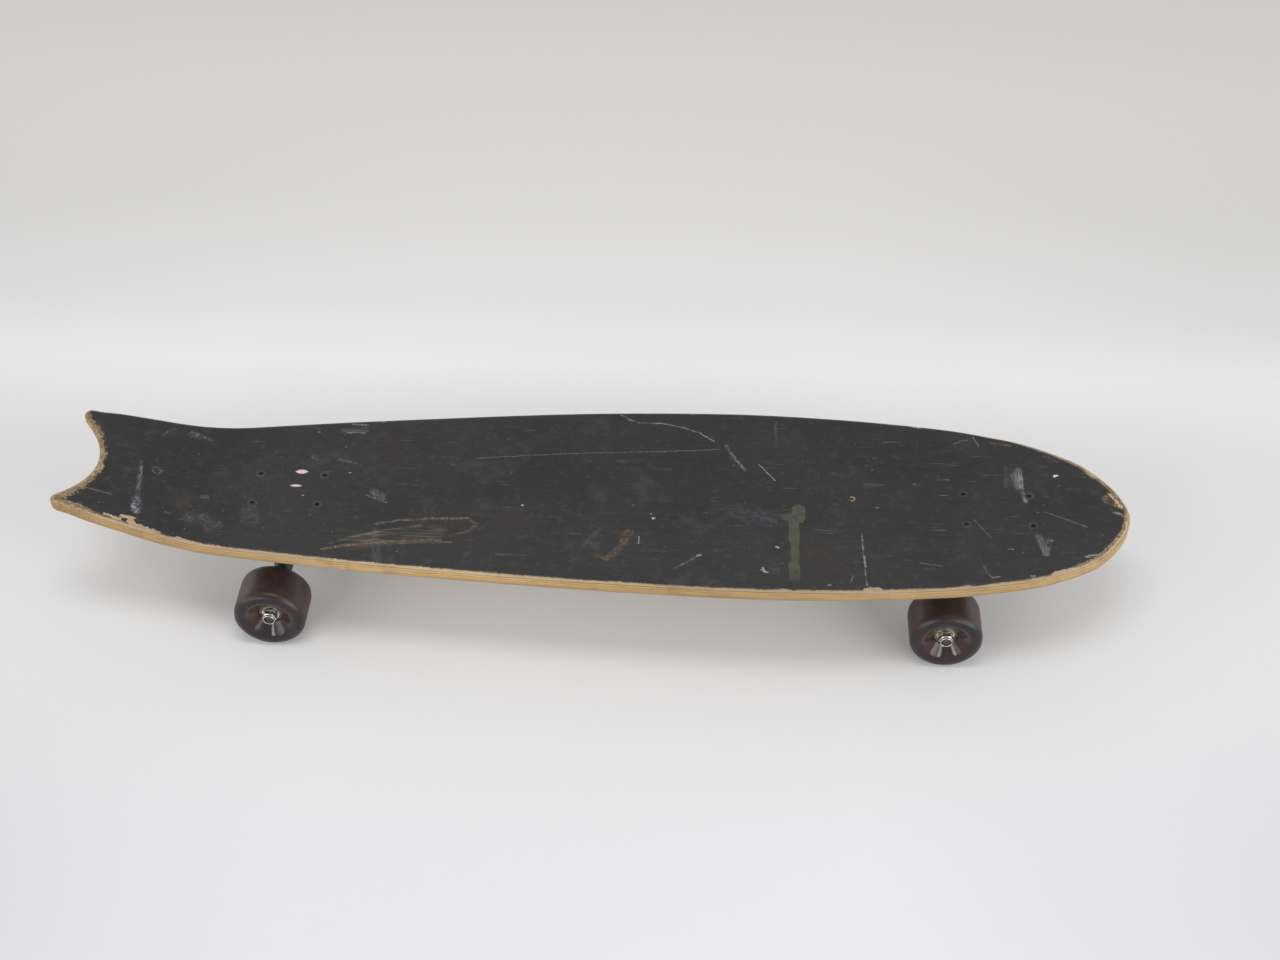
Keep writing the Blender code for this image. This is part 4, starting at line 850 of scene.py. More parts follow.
def across_frame(origin, side):
    """A frame at a point on an axle, with its Z outward and its X along the board."""
    turn = Matrix(((1, 0, 0), (0, 0, side), (0, -side, 0))).to_4x4()
    return Matrix.Translation(origin) @ turn


def placed(name, data):
    """A new object in the scene."""
    obj = bpy.data.objects.new(name, data)
    bpy.context.collection.objects.link(obj)
    return obj


def shaded(mesh):
    """Makes a mesh smooth except at its sharp edges."""
    mesh.shade_smooth()
    mesh.set_sharp_from_angle(angle=SHARP_ANGLE)


def shown(name, mesh, finishes):
    """An object of a mesh with its materials."""
    shaded(mesh)
    for finish in finishes:
        mesh.materials.append(finish)
    return placed(name, mesh)


def finished(bm, name):
    """The mesh of a bmesh, with its faces pointing out."""
    bmesh.ops.recalc_face_normals(bm, faces=bm.faces)
    mesh = bpy.data.meshes.new(name)
    bm.to_mesh(mesh)
    bm.free()
    return mesh


def skinned(bm, rims):
    """Faces between closed rims of points, each with the next."""
    for upper, lower in zip(rims, rims[1:]):
        for k in range(len(upper)):
            bm.faces.new((upper[k - 1], upper[k], lower[k], lower[k - 1]))


def give(mesh, key, values):
    """Stores a number at each point of a mesh."""
    mesh.attributes.new(key, "FLOAT", "POINT").data.foreach_set("value", values)


def flipped(corners):
    """The same corners with their heights turned round, in the opposite order."""
    return tuple((radius, -height, fillet) for radius, height, fillet in reversed(corners))


def dress(piece, node, rides=True):
    """Makes a piece stand for a CAD node and ride on its body."""
    if rides:
        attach(piece, BODY_OF[node])
    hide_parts(node)
    return piece


def rounded(corners, closed=True):
    """A section whose (radius, height, fillet) corners are rounded off."""
    points = []
    count = len(corners)
    for k, (radius, height, fillet) in enumerate(corners):
        here = Vector((radius, height))
        if not fillet or (not closed and k in (0, count - 1)):
            points.append(here)
            continue
        back = (Vector(corners[k - 1][:2]) - here).normalized()
        ahead = (Vector(corners[(k + 1) % count][:2]) - here).normalized()
        half = back.angle(ahead) / 2
        centre = here + (back + ahead).normalized() * fillet / math.sin(half)
        start = here + back * fillet / math.tan(half) - centre
        end = here + ahead * fillet / math.tan(half) - centre
        for j in range(FILLET_STEPS + 1):
            points.append(centre + start.lerp(end, j / FILLET_STEPS).normalized() * fillet)
    return points


def hexagon(flats, angle):
    """The distance from the middle to the side of a hexagon, at an angle."""
    return flats / math.cos(angle % (math.pi / 3) - math.pi / 6)


def spun_mesh(name, section, steps, frame, flats=None, socket=None, bands=()):
    """A section turned about its frame's Z. Beyond flats it is cut to a hexagon; a socket is one.

    Bands are (radius, height, finish number) lower corners: a face takes the last band that holds it.
    """
    closed = section[0][0] > 0
    rings = []
    verts = []
    marks = []  # radius and height of each point
    for radius, height in section:
        if radius <= 0:
            rings.append([len(verts)] * steps)
            verts.append(frame @ Vector((0, 0, height)))
            marks.append((0.0, height))
            continue
        ring = []
        for k in range(steps):
            angle = 2 * math.pi * k / steps
            reach = radius
            if flats and radius > flats:
                reach = min(radius, hexagon(flats, angle))
            if socket and abs(radius - socket) < 1e-7:
                reach = hexagon(socket, angle)
            ring.append(len(verts))
            verts.append(frame @ Vector((reach * math.cos(angle), reach * math.sin(angle), height)))
            marks.append((reach, height))
        rings.append(ring)
    faces = []
    pairs = list(zip(rings, rings[1:]))
    if closed:
        pairs.append((rings[-1], rings[0]))
    for lower, upper in pairs:
        for k in range(steps):
            face = []
            for vert in (lower[k], upper[k], upper[(k + 1) % steps], lower[(k + 1) % steps]):
                if vert not in face:
                    face.append(vert)
            if len(face) > 2:
                faces.append(face)
    mesh = bpy.data.meshes.new(name)
    mesh.from_pydata(verts, [], faces)
    give(mesh, "radius", [mark[0] for mark in marks])
    bm = bmesh.new()
    bm.from_mesh(mesh)
    bmesh.ops.recalc_face_normals(bm, faces=bm.faces)
    bm.to_mesh(mesh)
    bm.free()
    for face in mesh.polygons:
        radius = sum(marks[v][0] for v in face.vertices) / len(face.vertices)
        height = sum(marks[v][1] for v in face.vertices) / len(face.vertices)
        for inner, outer, low, high, number in bands:
            if inner < radius < outer and low < height < high:
                face.material_index = number
    return mesh


def spun(name, corners, frame, finishes, steps=ROUND_STEPS, flats=None, socket=None, bands=()):
    """An object turned from a section of rounded corners."""
    section = rounded(corners, corners[0][0] > 0)
    return shown(name, spun_mesh(name, section, steps, frame, flats, socket, bands), finishes)


def turned(name, section, steps, frame):
    """A plain turned body that only shapes others."""
    return placed(name, spun_mesh(name, section, steps, frame))


def rod(name, radius, start, end, steps, frame):
    """A round body that only shapes others, between two heights."""
    return turned(name, [(0, start), (radius, start), (radius, end), (0, end)], steps, frame)


def prism(name, outline, vector):
    """A body that only shapes others: an outline of points in space, extruded along a vector."""
    bm = bmesh.new()
    face = bm.faces.new([bm.verts.new(point) for point in outline])
    grown = bmesh.ops.extrude_face_region(bm, geom=[face])["geom"]
    moved = [item for item in grown if isinstance(item, bmesh.types.BMVert)]
    bmesh.ops.translate(bm, verts=moved, vec=vector)
    return placed(name, finished(bm, name))


def combine(obj, others, operation):
    """Joins or cuts an object with others."""
    for other in others:
        step = obj.modifiers.new(other.name, "BOOLEAN")
        step.operation = operation
        step.solver = "EXACT"
        step.object = other


def settle(obj, others):
    """Turns an object's modifiers into plain mesh, and removes the bodies that shaped it."""
    graph = bpy.context.evaluated_depsgraph_get()
    mesh = bpy.data.meshes.new_from_object(obj.evaluated_get(graph))
    old = obj.data
    obj.modifiers.clear()
    obj.data = mesh
    bpy.data.meshes.remove(old)
    for other in others:
        bpy.data.objects.remove(other)
    return obj


def cast(obj, others):
    """Melts an object and others into one casting with soft inner corners."""
    combine(obj, others, "UNION")
    melt = obj.modifiers.new("melt", "REMESH")
    melt.mode = "VOXEL"
    melt.voxel_size = CAST_VOXEL
    soften = obj.modifiers.new("soften", "SMOOTH")
    soften.factor = 0.5
    soften.iterations = CAST_SMOOTHING
    settle(obj, others)


def bored(obj, cutters):
    """Cuts holes in a piece and shades it again."""
    combine(obj, cutters, "DIFFERENCE")
    settle(obj, cutters)
    shaded(obj.data)


# Deck

def catmull_rom(points, before, after, steps):
    """A smooth curve through points, with the same number of steps in each span.

    The points before and after only set the directions of its two ends.
    """
    padded = [before, *points, after]
    curve = []
    for p0, p1, p2, p3 in zip(padded, padded[1:], padded[2:], padded[3:]):
        for k in range(steps):
            t = k / steps
            curve.append(0.5 * (2 * p1 + (p2 - p0) * t + (2 * p0 - 5 * p1 + 4 * p2 - p3) * t ** 2
                                + (3 * p1 - p0 - 3 * p2 + p3) * t ** 3))
    curve.append(points[-1])
    return curve


def resampled(curve, steps):
    """The same curve with equal steps along it."""
    lengths = [0.0]
    for a, b in zip(curve, curve[1:]):
        lengths.append(lengths[-1] + (b - a).length)
    result = []
    span = 0
    for k in range(steps + 1):
        goal = lengths[-1] * k / steps
        while span < len(curve) - 2 and lengths[span + 1] < goal:
            span += 1
        share = (goal - lengths[span]) / (lengths[span + 1] - lengths[span])
        result.append(curve[span].lerp(curve[span + 1], min(share, 1.0)))
    return result


def tip_point(angle):
    """A point on the round tip of the left tail horn."""
    centre = Vector((TAIL_X + TAIL_TIP_RADIUS, TAIL_HALF_WIDTH - TAIL_TIP_RADIUS))
    return centre + TAIL_TIP_RADIUS * Vector((math.cos(angle), math.sin(angle)))


def notch_angle():
    """Where the notch's parabola runs smoothly into the tip's circle."""
    low, high = math.pi, 1.5 * math.pi
    notch_x = TAIL_X + TAIL_NOTCH_DEPTH
    for _ in range(40):
        middle = (low + high) / 2
        point = tip_point(middle)
        if 2 * (notch_x - point.x) / point.y > math.tan(middle - math.pi):
            low = middle
        else:
            high = middle
    return low


def arc(start, end, steps):
    """Points round the tail tip."""
    return [tip_point(start + (end - start) * k / steps) for k in range(steps + 1)]


def deck_edges():
    """The four edges of the deck's grid: tail and nose run from right to left, the sides to the nose."""
    meet = notch_angle()
    edge = tip_point(meet)
    notch_x = TAIL_X + TAIL_NOTCH_DEPTH
    shares = [k / NOTCH_STEPS for k in range(NOTCH_STEPS + 1)]
    notch = [Vector((notch_x + (edge.x - notch_x) * s ** 2, edge.y * s)) for s in shares]
    notch += arc(meet, math.pi, TIP_INNER_STEPS)[1:]
    tip = arc(math.pi, math.pi / 2, TIP_OUTER_STEPS)
    guide = [tip[-1]] + [Vector((TAIL_X + DECK_LENGTH * along, DECK_HALF_WIDTH * wide))
                         for along, wide in (*DECK_SIDE, *DECK_NOSE)]
    # Mirrored neighbours make the curve leave the tip along the board and cross the nose square
    before = Vector((2 * guide[0].x - guide[1].x, guide[1].y))
    after = Vector((guide[-2].x, -guide[-2].y))
    curve = catmull_rom(guide, before, after, SPAN_STEPS)
    corner = len(DECK_SIDE) * SPAN_STEPS
    side = tip + resampled(curve[:corner + 1], SIDE_STEPS)[1:]
    nose = resampled(curve[corner:], NOSE_STEPS)
    mirrored = [[Vector((p.x, -p.y)) for p in line] for line in (notch, side, nose)]
    tail_edge = mirrored[0][::-1] + notch[1:]
    nose_edge = mirrored[2] + nose[-2::-1]
    return tail_edge, nose_edge, mirrored[1], side


def inset_loop(loop, inset):
    """An anticlockwise loop of points, moved inward."""
    moved = []
    for before, point, after in zip(loop[-1:] + loop[:-1], loop, loop[1:] + loop[:1]):
        along = ((after - point).normalized() + (point - before).normalized()).normalized()
        moved.append(point + inset * Vector((-along.y, along.x)))
    return moved


def kick(x):
    """How far the tail has risen, and its slope."""
    back = TAIL_X + KICK_START - x
    if back <= 0:
        return 0.0, 0.0
    if back < KICK_BEND:
        return KICK_SLOPE * back ** 2 / (2 * KICK_BEND), KICK_SLOPE * back / KICK_BEND
    return KICK_SLOPE * (back - KICK_BEND / 2), KICK_SLOPE


def top_height(x, y):
    """The height of the deck's top face."""
    start = TRUCKS[1].axle_x + plate_reach(TRUCKS[1])[1]
    end = TRUCKS[0].axle_x - plate_reach(TRUCKS[0])[1]
    share = min(max((x - start) / (end - start), 0.0), 1.0)
    camber = DECK_CAMBER_HEIGHT * math.sin(math.pi * share) ** 2
    return DECK_TOP + kick(x)[0] + camber + DECK_CONCAVE_HEIGHT * (y / DECK_HALF_WIDTH) ** 2


def deck_point(point, drop):
    """A point on or in the deck, at a depth under its top face."""
    steepness = math.hypot(1.0, kick(point.x)[1])
    return Vector((point.x, point.y, top_height(point.x, point.y) - drop * steepness))


def deck_grid(tail_edge, nose_edge, right_side, left_side):
    """Rows of points across the deck between its four edges (a Coons patch)."""
    across = len(tail_edge) - 1
    along = len(right_side) - 1
    rows = []
    for i in range(along + 1):
        u = i / along
        row = []
        for j in range(across + 1):
            v = j / across
            ruled = tail_edge[j].lerp(nose_edge[j], u) + right_side[i].lerp(left_side[i], v)
            corners = tail_edge[0].lerp(tail_edge[-1], v).lerp(nose_edge[0].lerp(nose_edge[-1], v), u)
            row.append(ruled - corners)
        rows.append(row)
    return rows


def border(rows):
    """The rim of a grid as one closed list, anticlockwise from its first corner."""
    left = [row[-1] for row in rows]
    right = [row[0] for row in rows]
    return right + rows[-1][1:] + left[-2::-1] + rows[0][-2:0:-1]


def deck_mesh():
    """The pressed board and its outline."""
    tail_edge, nose_edge, right_side, left_side = deck_edges()
    loop = right_side + nose_edge[1:] + left_side[-2::-1] + tail_edge[-2:0:-1]
    flat = inset_loop(loop, DECK_EDGE_RADIUS)
    along = len(right_side)
    across = len(tail_edge)
    nose_flat = flat[along - 1:along + across - 1]
    left_flat = flat[along + across - 2:2 * along + across - 2][::-1]
    tail_flat = [flat[0], *flat[:2 * along + across - 3:-1], left_flat[0]]
    grid = deck_grid(tail_flat, nose_flat, flat[:along], left_flat)
    bm = bmesh.new()
    top = [[bm.verts.new(deck_point(point, 0.0)) for point in row] for row in grid]
    bottom = [[bm.verts.new(deck_point(point, DECK_THICKNESS)) for point in row] for row in grid]
    for face in (top, bottom):
        for row, after in zip(face, face[1:]):
            for k in range(across - 1):
                bm.faces.new((row[k], after[k], after[k + 1], row[k + 1]))
    rims = [border(top)]
    turns = [math.pi / 2 * k / EDGE_STEPS for k in range(1, EDGE_STEPS + 1)]
    curl = [(DECK_EDGE_RADIUS * (1 - math.sin(a)), DECK_EDGE_RADIUS * (1 - math.cos(a))) for a in turns]
    for inset, drop in curl + [(inset, DECK_THICKNESS - drop) for inset, drop in reversed(curl)]:
        rims.append([bm.verts.new(deck_point(point, drop)) for point in inset_loop(loop, inset)])
    rims.append(border(bottom))
    skinned(bm, rims)
    return finished(bm, "deck_board"), loop


def mark_deck(mesh, loop):
    """Gives each point of the deck its depth under the top and its distance from the outline."""
    points = np.array([v.co for v in mesh.vertices])
    depth = [(top_height(x, y) - z) / math.hypot(1.0, kick(x)[1]) for x, y, z in points]
    starts = np.array(loop)
    spans = np.roll(starts, -1, axis=0) - starts
    nearest = np.full(len(points), np.inf)
    for start, span in zip(starts, spans):
        away = points[:, :2] - start
        share = np.clip(away @ span / (span @ span), 0, 1)
        nearest = np.minimum(nearest, np.linalg.norm(away - share[:, None] * span, axis=1))
    for key, values in (("ply_depth", depth), ("edge_distance", nearest)):
        give(mesh, key, np.array(values, np.float32))


def bolt_spots(truck):
    """The four bolt places of a truck."""
    for long_side in (-1, 1):
        for across_side in (-1, 1):
            x = truck.bolts_x + long_side * BOLT_SPACING_LONG / 2
            y = across_side * BOLT_SPACING_ACROSS / 2
            yield deck_point(Vector((x, y)), 0.0)


def bolt_hole(spot):
    """A cutter for a bolt hole and its countersink."""
    wide = BOLT_HEAD_RADIUS + RUNNING_FIT + GAP / 2
    narrow = BOLT_RADIUS + RUNNING_FIT
    reach = BOLT_HEAD + GAP
    section = [(0, RISER_TOP - spot.z), (narrow, RISER_TOP - spot.z), (narrow, -reach), (wide, 0),
               (wide, reach), (0, reach)]
    return turned("hole", section, SMALL_STEPS, Matrix.Translation(spot))


def make_deck():
    """The deck with its eight countersunk holes."""
    mesh, loop = deck_mesh()
    deck = shown("deck_board", mesh, [MAPLE])
    bored(deck, [bolt_hole(spot) for truck in TRUCKS for spot in bolt_spots(truck)])
    mark_deck(deck.data, loop)
    dress(deck, "deck")


# Trucks

def spot_at(truck, inboard, z, y=0.0):
    """A point measured from a truck's axle towards the middle of the board."""
    return Vector((truck.axle_x + truck.inboard * inboard, y, z))


def kingpin_frame(truck):
    """A frame in the middle of the hanger's ring, with its Z down the kingpin."""
    down = Vector((truck.inboard * math.sin(KINGPIN_LEAN), 0, -math.cos(KINGPIN_LEAN)))
    return frame_on(spot_at(truck, RING_INBOARD, RING_Z), down)


def steer_frame(truck):
    """A frame in the middle of the ring, with its Z along the line to the pivot cup."""
    out = Vector((-truck.inboard * math.cos(STEER_ANGLE), 0, math.sin(STEER_ANGLE)))
    return frame_on(spot_at(truck, RING_INBOARD, RING_Z), out)


def plate_reach(truck):
    """The baseplate's two ends, measured from the axle: outboard, inboard."""
    bolts = truck.inboard * (truck.bolts_x - truck.axle_x)
    half = BOLT_SPACING_LONG / 2 + PLATE_MARGIN
    return bolts - half, max(bolts + half, RING_INBOARD + BOSS_RADIUS)


def plate_outline(truck, z, inset=0.0):
    """The rounded outline of a baseplate or riser pad at a height."""
    out, inn = plate_reach(truck)
    points = []
    for quarter, (inboard, side) in enumerate(((inn, 1), (out, 1), (out, -1), (inn, -1))):
        centre = inboard - (1 if inboard == inn else -1) * PLATE_CORNER_RADIUS
        for k in range(9):
            angle = (quarter + k / 8) * math.pi / 2
            u = centre + (PLATE_CORNER_RADIUS - inset) * math.cos(angle)
            y = (side * (PLATE_HALF_WIDTH - PLATE_CORNER_RADIUS)
                 + (PLATE_CORNER_RADIUS - inset) * math.sin(angle))
            points.append(spot_at(truck, u, z, y))
    return points


def plate_cutters(truck, start, end):
    """Cutters for the four bolt holes between two heights."""
    return [rod("plate_hole", BOLT_RADIUS + RUNNING_FIT, start, end, SMALL_STEPS,
                Matrix.Translation((spot.x, spot.y, 0))) for spot in bolt_spots(truck)]


def slab(name, truck, bottom, top, soft):
    """A plate with softened rims."""
    rows = ((bottom, soft), (bottom + soft * 0.3, soft * 0.3), (bottom + soft, 0.0), (top - soft, 0.0),
            (top - soft * 0.3, soft * 0.3), (top, soft))
    bm = bmesh.new()
    rims = [[bm.verts.new(point) for point in plate_outline(truck, z, inset)] for z, inset in rows]
    skinned(bm, rims)
    bm.faces.new(rims[0])
    bm.faces.new(rims[-1])
    return finished(bm, name)


def make_riser(truck):
    """The rubber pad between the deck and the baseplate."""
    name = truck.name + "_riser"
    pad = shown(name, slab(name, truck, RISER_BOTTOM, RISER_TOP, 0.0006), [RUBBER])
    bored(pad, plate_cutters(truck, RISER_BOTTOM - GAP, RISER_TOP + GAP))
    dress(pad, truck.name + "_riser_pad")


def make_baseplate(truck):
    """The cast plate with its kingpin boss and pivot housing."""
    name = truck.name + "_baseplate_casting"
    pin = kingpin_frame(truck)
    steer = steer_frame(truck)
    plate = shown(name, slab(name, truck, PLATE_BOTTOM, PLATE_TOP, 0.0008), [BLACK_METAL])
    boss = rod("boss", BOSS_RADIUS, SEAT - TRUCK_HEIGHT, SEAT, ROUND_STEPS, pin)
    housing = rod("housing", HOUSING_RADIUS, PIVOT_REACH - HOUSING_MOUTH, PIVOT_REACH + HOUSING_DEPTH,
                  ROUND_STEPS, steer)
    middle = steer @ Vector((0, 0, PIVOT_REACH))
    back = -truck.inboard * HOUSING_FOOT_BACK
    front = truck.inboard * HOUSING_FOOT_FRONT
    half = HOUSING_FOOT_HALF
    rise = Vector((0, 0, TRUCK_HEIGHT))
    foot = prism("foot", [middle + Vector(corner) for corner in (
        (back, -half, 0), (front, -half, 0), (front, half, 0), (back, half, 0))], rise)
    out, inn = plate_reach(truck)
    above = PLATE_TOP - PLATE_THICKNESS / 2
    trim = prism("trim", [spot_at(truck, u, above, y) for u, y in (
        (inn + TRIM_HALF, TRIM_HALF), (out - TRIM_HALF, TRIM_HALF), (out - TRIM_HALF, -TRIM_HALF),
        (inn + TRIM_HALF, -TRIM_HALF))], rise)
    core = settled_union(boss, [housing, foot], [trim])
    cast(plate, [core])
    top = SEAT - TRUCK_HEIGHT
    bore = KINGPIN_RADIUS + RUNNING_FIT
    head = KINGPIN_HEAD_RADIUS + RUNNING_FIT
    pin_hole = [(0, top), (head, top), (head, HEAD_FLOOR), (bore, HEAD_FLOOR), (bore, SEAT + GAP),
                (0, SEAT + GAP)]
    cup_hole = rod("cup_hole", STEM_TIP_RADIUS + RUNNING_FIT + CUP_WALL + GAP,
                   PIVOT_REACH - HOUSING_MOUTH - GAP - 0.001,
                   PIVOT_REACH + STEM_OVERRUN + RUNNING_FIT + CUP_FLOOR + GAP, ROUND_STEPS, steer)
    cutters = [turned("pin_hole", pin_hole, ROUND_STEPS, pin), cup_hole,
               *plate_cutters(truck, PLATE_BOTTOM - 0.002, PLATE_TOP + 0.001)]
    bored(plate, cutters)
    dress(plate, truck.name + "_baseplate")


def settled_union(base, joined, cut):
    """Bodies joined into one and trimmed."""
    combine(base, joined, "UNION")
    combine(base, cut, "DIFFERENCE")
    return settle(base, joined + cut)


def make_hanger(truck):
    """The cast hanger: axle barrel, kingpin ring, web and pivot stem."""
    name = truck.name + "_hanger_casting"
    axle_line = across_frame(spot_at(truck, 0, AXLE_Z), 1)
    pin = kingpin_frame(truck)
    steer = steer_frame(truck)
    half = HANGER_HALF_WIDTH
    arm = ((HANGER_MIDDLE_RADIUS, HANGER_MIDDLE_HALF, 0.02), (HANGER_END_RADIUS, HANGER_TAPER_END, 0.02),
           (HANGER_END_RADIUS, half, 0.0008), (0, half, 0))
    hanger = spun(name, flipped(arm) + arm, axle_line, [BLACK_METAL])
    disc = ((0, -RING_HALF_THICKNESS, 0), (RING_RADIUS, -RING_HALF_THICKNESS, 0.0015),
            (RING_RADIUS, RING_HALF_THICKNESS, 0.0015), (0, RING_HALF_THICKNESS, 0))
    tip = PIVOT_REACH + STEM_OVERRUN
    stem = ((0, STEM_START, 0), (STEM_ROOT_RADIUS, STEM_START, 0),
            (STEM_TIP_RADIUS, PIVOT_REACH - HOUSING_MOUTH - CUP_LIP - GAP, 0),
            (STEM_TIP_RADIUS, tip, 0.002), (0, tip, 0))
    parts = [turned("ring", rounded(disc, False), ROUND_STEPS, pin), web_body(truck),
             turned("stem", rounded(stem, False), ROUND_STEPS, steer)]
    cast(hanger, parts)
    axle_bore = rod("axle_bore", SHAFT_BORE, -half - GAP, half + GAP, SMALL_STEPS, axle_line)
    ring_bore = rod("ring_bore", RING_BORE, -RING_RADIUS, RING_RADIUS, ROUND_STEPS, pin)
    bored(hanger, [axle_bore, ring_bore])
    dress(hanger, truck.name + "_hanger")


def web_body(truck):
    """The web that ties the axle barrel to the ring and the pivot stem."""
    root = STEM_START + STEM_ROOT_RADIUS / 2
    stem_u = RING_INBOARD - root * math.cos(STEER_ANGLE)
    stem_z = RING_Z + root * math.sin(STEER_ANGLE)
    ring_u = RING_INBOARD - RING_RADIUS * math.cos(KINGPIN_LEAN)
    ring_z = RING_Z - RING_RADIUS * math.sin(KINGPIN_LEAN)
    low = HANGER_MIDDLE_RADIUS * math.sin(math.pi / 4)
    corners = (
        (-low, AXLE_Z + low / 2), (stem_u - STEM_ROOT_RADIUS / 2, stem_z - STEM_ROOT_RADIUS / 2),
        (stem_u + STEM_ROOT_RADIUS / 2, stem_z + STEM_ROOT_RADIUS / 2),
        (ring_u, ring_z + RING_HALF_THICKNESS * 2), (ring_u + RING_HALF_THICKNESS, ring_z),
        (low, AXLE_Z + low / 2),
    )
    outline = [spot_at(truck, u, z, -WEB_HALF_WIDTH) for u, z in corners]
    return prism("web", outline, Vector((0, 2 * WEB_HALF_WIDTH, 0)))


def thread(radius, start, end, pitch=THREAD_PITCH):
    """Corners of a threaded length of rod, from its start to its end."""
    count = max(int(abs(end - start) / pitch), 1)
    points = []
    for k in range(count):
        low = start + (end - start) * k / count
        high = start + (end - start) * (k + 1) / count
        points += [(radius - pitch * THREAD_DEPTH, low, 0), (radius, (low + high) / 2, 0)]
    return points


def lock_nut(name, bore, corner, start, end, frame):
    """A hexagonal lock nut: chamfered flats, then a round collar rolled over a nylon ring."""
    out = 1 if end > start else -1
    flats = corner * math.cos(math.pi / 6)
    height = abs(end - start)
    collar = flats * NUT_COLLAR
    lip = collar - (collar - bore) * NUT_LIP
    ring = end - out * NYLON_DEPTH
    rise = out * height
    corners = (
        (bore, start, 0.0002), (corner, start, 0.0005), (corner, start + rise * NUT_SHOULDER, 0.0006),
        (collar, start + rise * NUT_COLLAR_START, 0.0003), (collar, end, 0.0005),
        (lip, end, 0.0003), (lip, ring, 0.0001), (bore, ring, 0.0002))
    band = ((bore - 0.0002, lip + 0.00005, *sorted((ring - out * 0.0004, ring + out * 0.0004)), 1),)
    return spun(name, corners, frame, [ZINC, NYLON], ROUND_STEPS, flats=flats, bands=band)


def make_deck_fasteners(truck):
    """Four countersunk socket bolts, each with a lock nut under the baseplate."""
    nut_top = PLATE_BOTTOM - GAP
    tip = nut_top - DECK_NUT - BOLT_PROUD
    for number, spot in enumerate(bolt_spots(truck), 1):
        top = spot.z - GAP
        axis = Matrix.Translation((spot.x, spot.y, 0))
        neck = top - BOLT_HEAD
        head = BOLT_HEAD_RADIUS + 0.0003
        corners = ((0, tip, 0), (BOLT_RADIUS - 0.0004, tip, 0.0002),
                   *thread(BOLT_RADIUS, tip + 0.0004, neck - 0.008),
                   (BOLT_RADIUS, neck - 0.0005, 0), (BOLT_RADIUS, neck, 0), (head, top - 0.0002, 0.00015),
                   (head - 0.0003, top, 0.0001), (SOCKET_RADIUS + 0.0001, top, 0),
                   (SOCKET_RADIUS, top - 0.0001, 0), (SOCKET_RADIUS, top - SOCKET_DEPTH, 0),
                   (0, top - SOCKET_DEPTH - 0.0002, 0))
        bolt = spun(f"{truck.name}_bolt_{number}", corners, axis, [BLACK_BOLT], SMALL_STEPS,
                    socket=SOCKET_RADIUS)
        dress(bolt, f"{truck.name}_deck_bolt_{number}")
        nut = lock_nut(f"{truck.name}_bolt_nut_{number}", BOLT_RADIUS + RUNNING_FIT, DECK_NUT_RADIUS,
                       nut_top, nut_top - DECK_NUT, axis)
        dress(nut, f"{truck.name}_deck_nut_{number}")


def make_kingpin(truck):
    """The kingpin, its lock nut, the bushings and their washers."""
    pin = kingpin_frame(truck)
    bore = KINGPIN_RADIUS + RUNNING_FIT
    head = KINGPIN_HEAD_RADIUS
    neck = HEAD_TOP + KINGPIN_HEAD
    thread_start = KINGPIN_NUT_START - 0.003
    corners = ((0, HEAD_TOP, 0), (head, HEAD_TOP, 0.0006), (head, neck, 0.0003),
               (KINGPIN_RADIUS, neck, 0.0003), (KINGPIN_RADIUS, thread_start, 0),
               *thread(KINGPIN_RADIUS, thread_start, KINGPIN_END - 0.0008),
               (KINGPIN_RADIUS - 0.0008, KINGPIN_END, 0.0002), (0, KINGPIN_END, 0))
    flats = head * math.cos(math.pi / 6)
    kingpin = spun(truck.name + "_kingpin_bolt", corners, pin, [ZINC], ROUND_STEPS, flats=flats)
    dress(kingpin, truck.name + "_kingpin")
    nut = lock_nut(truck.name + "_kingpin_lock_nut", bore, KINGPIN_NUT_RADIUS, KINGPIN_NUT_START,
                   KINGPIN_NUT_START + KINGPIN_NUT, pin)
    dress(nut, truck.name + "_kingpin_nut")
    low = BOARD_BUSHING_END - BOARD_BUSHING
    flared = bore + BUSHING_FLARE
    barrel = ((bore, low, 0.0004), (BUSHING_RADIUS, low, 0.0014),
              (BUSHING_RADIUS, BOARD_BUSHING_END, 0.0014), (flared, BOARD_BUSHING_END, 0.0004))
    start = RING_HALF_THICKNESS + GAP
    end = start + ROAD_BUSHING
    cone = ((flared, start, 0.0004), (BUSHING_RADIUS, start, 0.0014), (BUSHING_TIP_RADIUS, end, 0.0008),
            (bore, end, 0.0004))
    # A bushing is soft; here each one is baked in place and rides on no body
    for name, section, held, leaning in (("board_bushing", barrel, low, BOARD_BUSHING_END),
                                         ("road_bushing", cone, end, start)):
        node = f"{truck.name}_{name}"
        piece = spun(node + "_ring", section, pin, [BUSHING])
        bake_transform(piece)
        dress(piece, node, rides=False)
    for name, radius, start in (("board_washer", CUP_WASHER_RADIUS, BOARD_WASHER_END - CUP_WASHER),
                                ("road_washer", BUSHING_TIP_RADIUS, ROAD_WASHER_START)):
        section = ((bore, start, 0.0003), (radius, start, 0.0006), (radius, start + CUP_WASHER, 0.0005),
                   (bore, start + CUP_WASHER, 0.0003))
        piece = spun(f"{truck.name}_{name}_ring", section, pin, [ZINC])
        dress(piece, f"{truck.name}_{name}")


def make_pivot_cup(truck):
    """The blind cup that the hanger's stem turns in."""
    bore = STEM_TIP_RADIUS + RUNNING_FIT
    mouth = PIVOT_REACH - HOUSING_MOUTH - CUP_LIP
    floor = PIVOT_REACH + STEM_OVERRUN + RUNNING_FIT
    wall = bore + CUP_WALL
    corners = ((0, floor, 0), (bore, floor, 0.0015), (bore, mouth, 0.0004), (wall, mouth, 0.0006),
               (wall, floor + CUP_FLOOR, 0.001), (0, floor + CUP_FLOOR, 0))
    cup = spun(truck.name + "_pivot_cup_shell", corners, steer_frame(truck), [BLACK_PLASTIC])
    dress(cup, truck.name + "_pivot_cup")


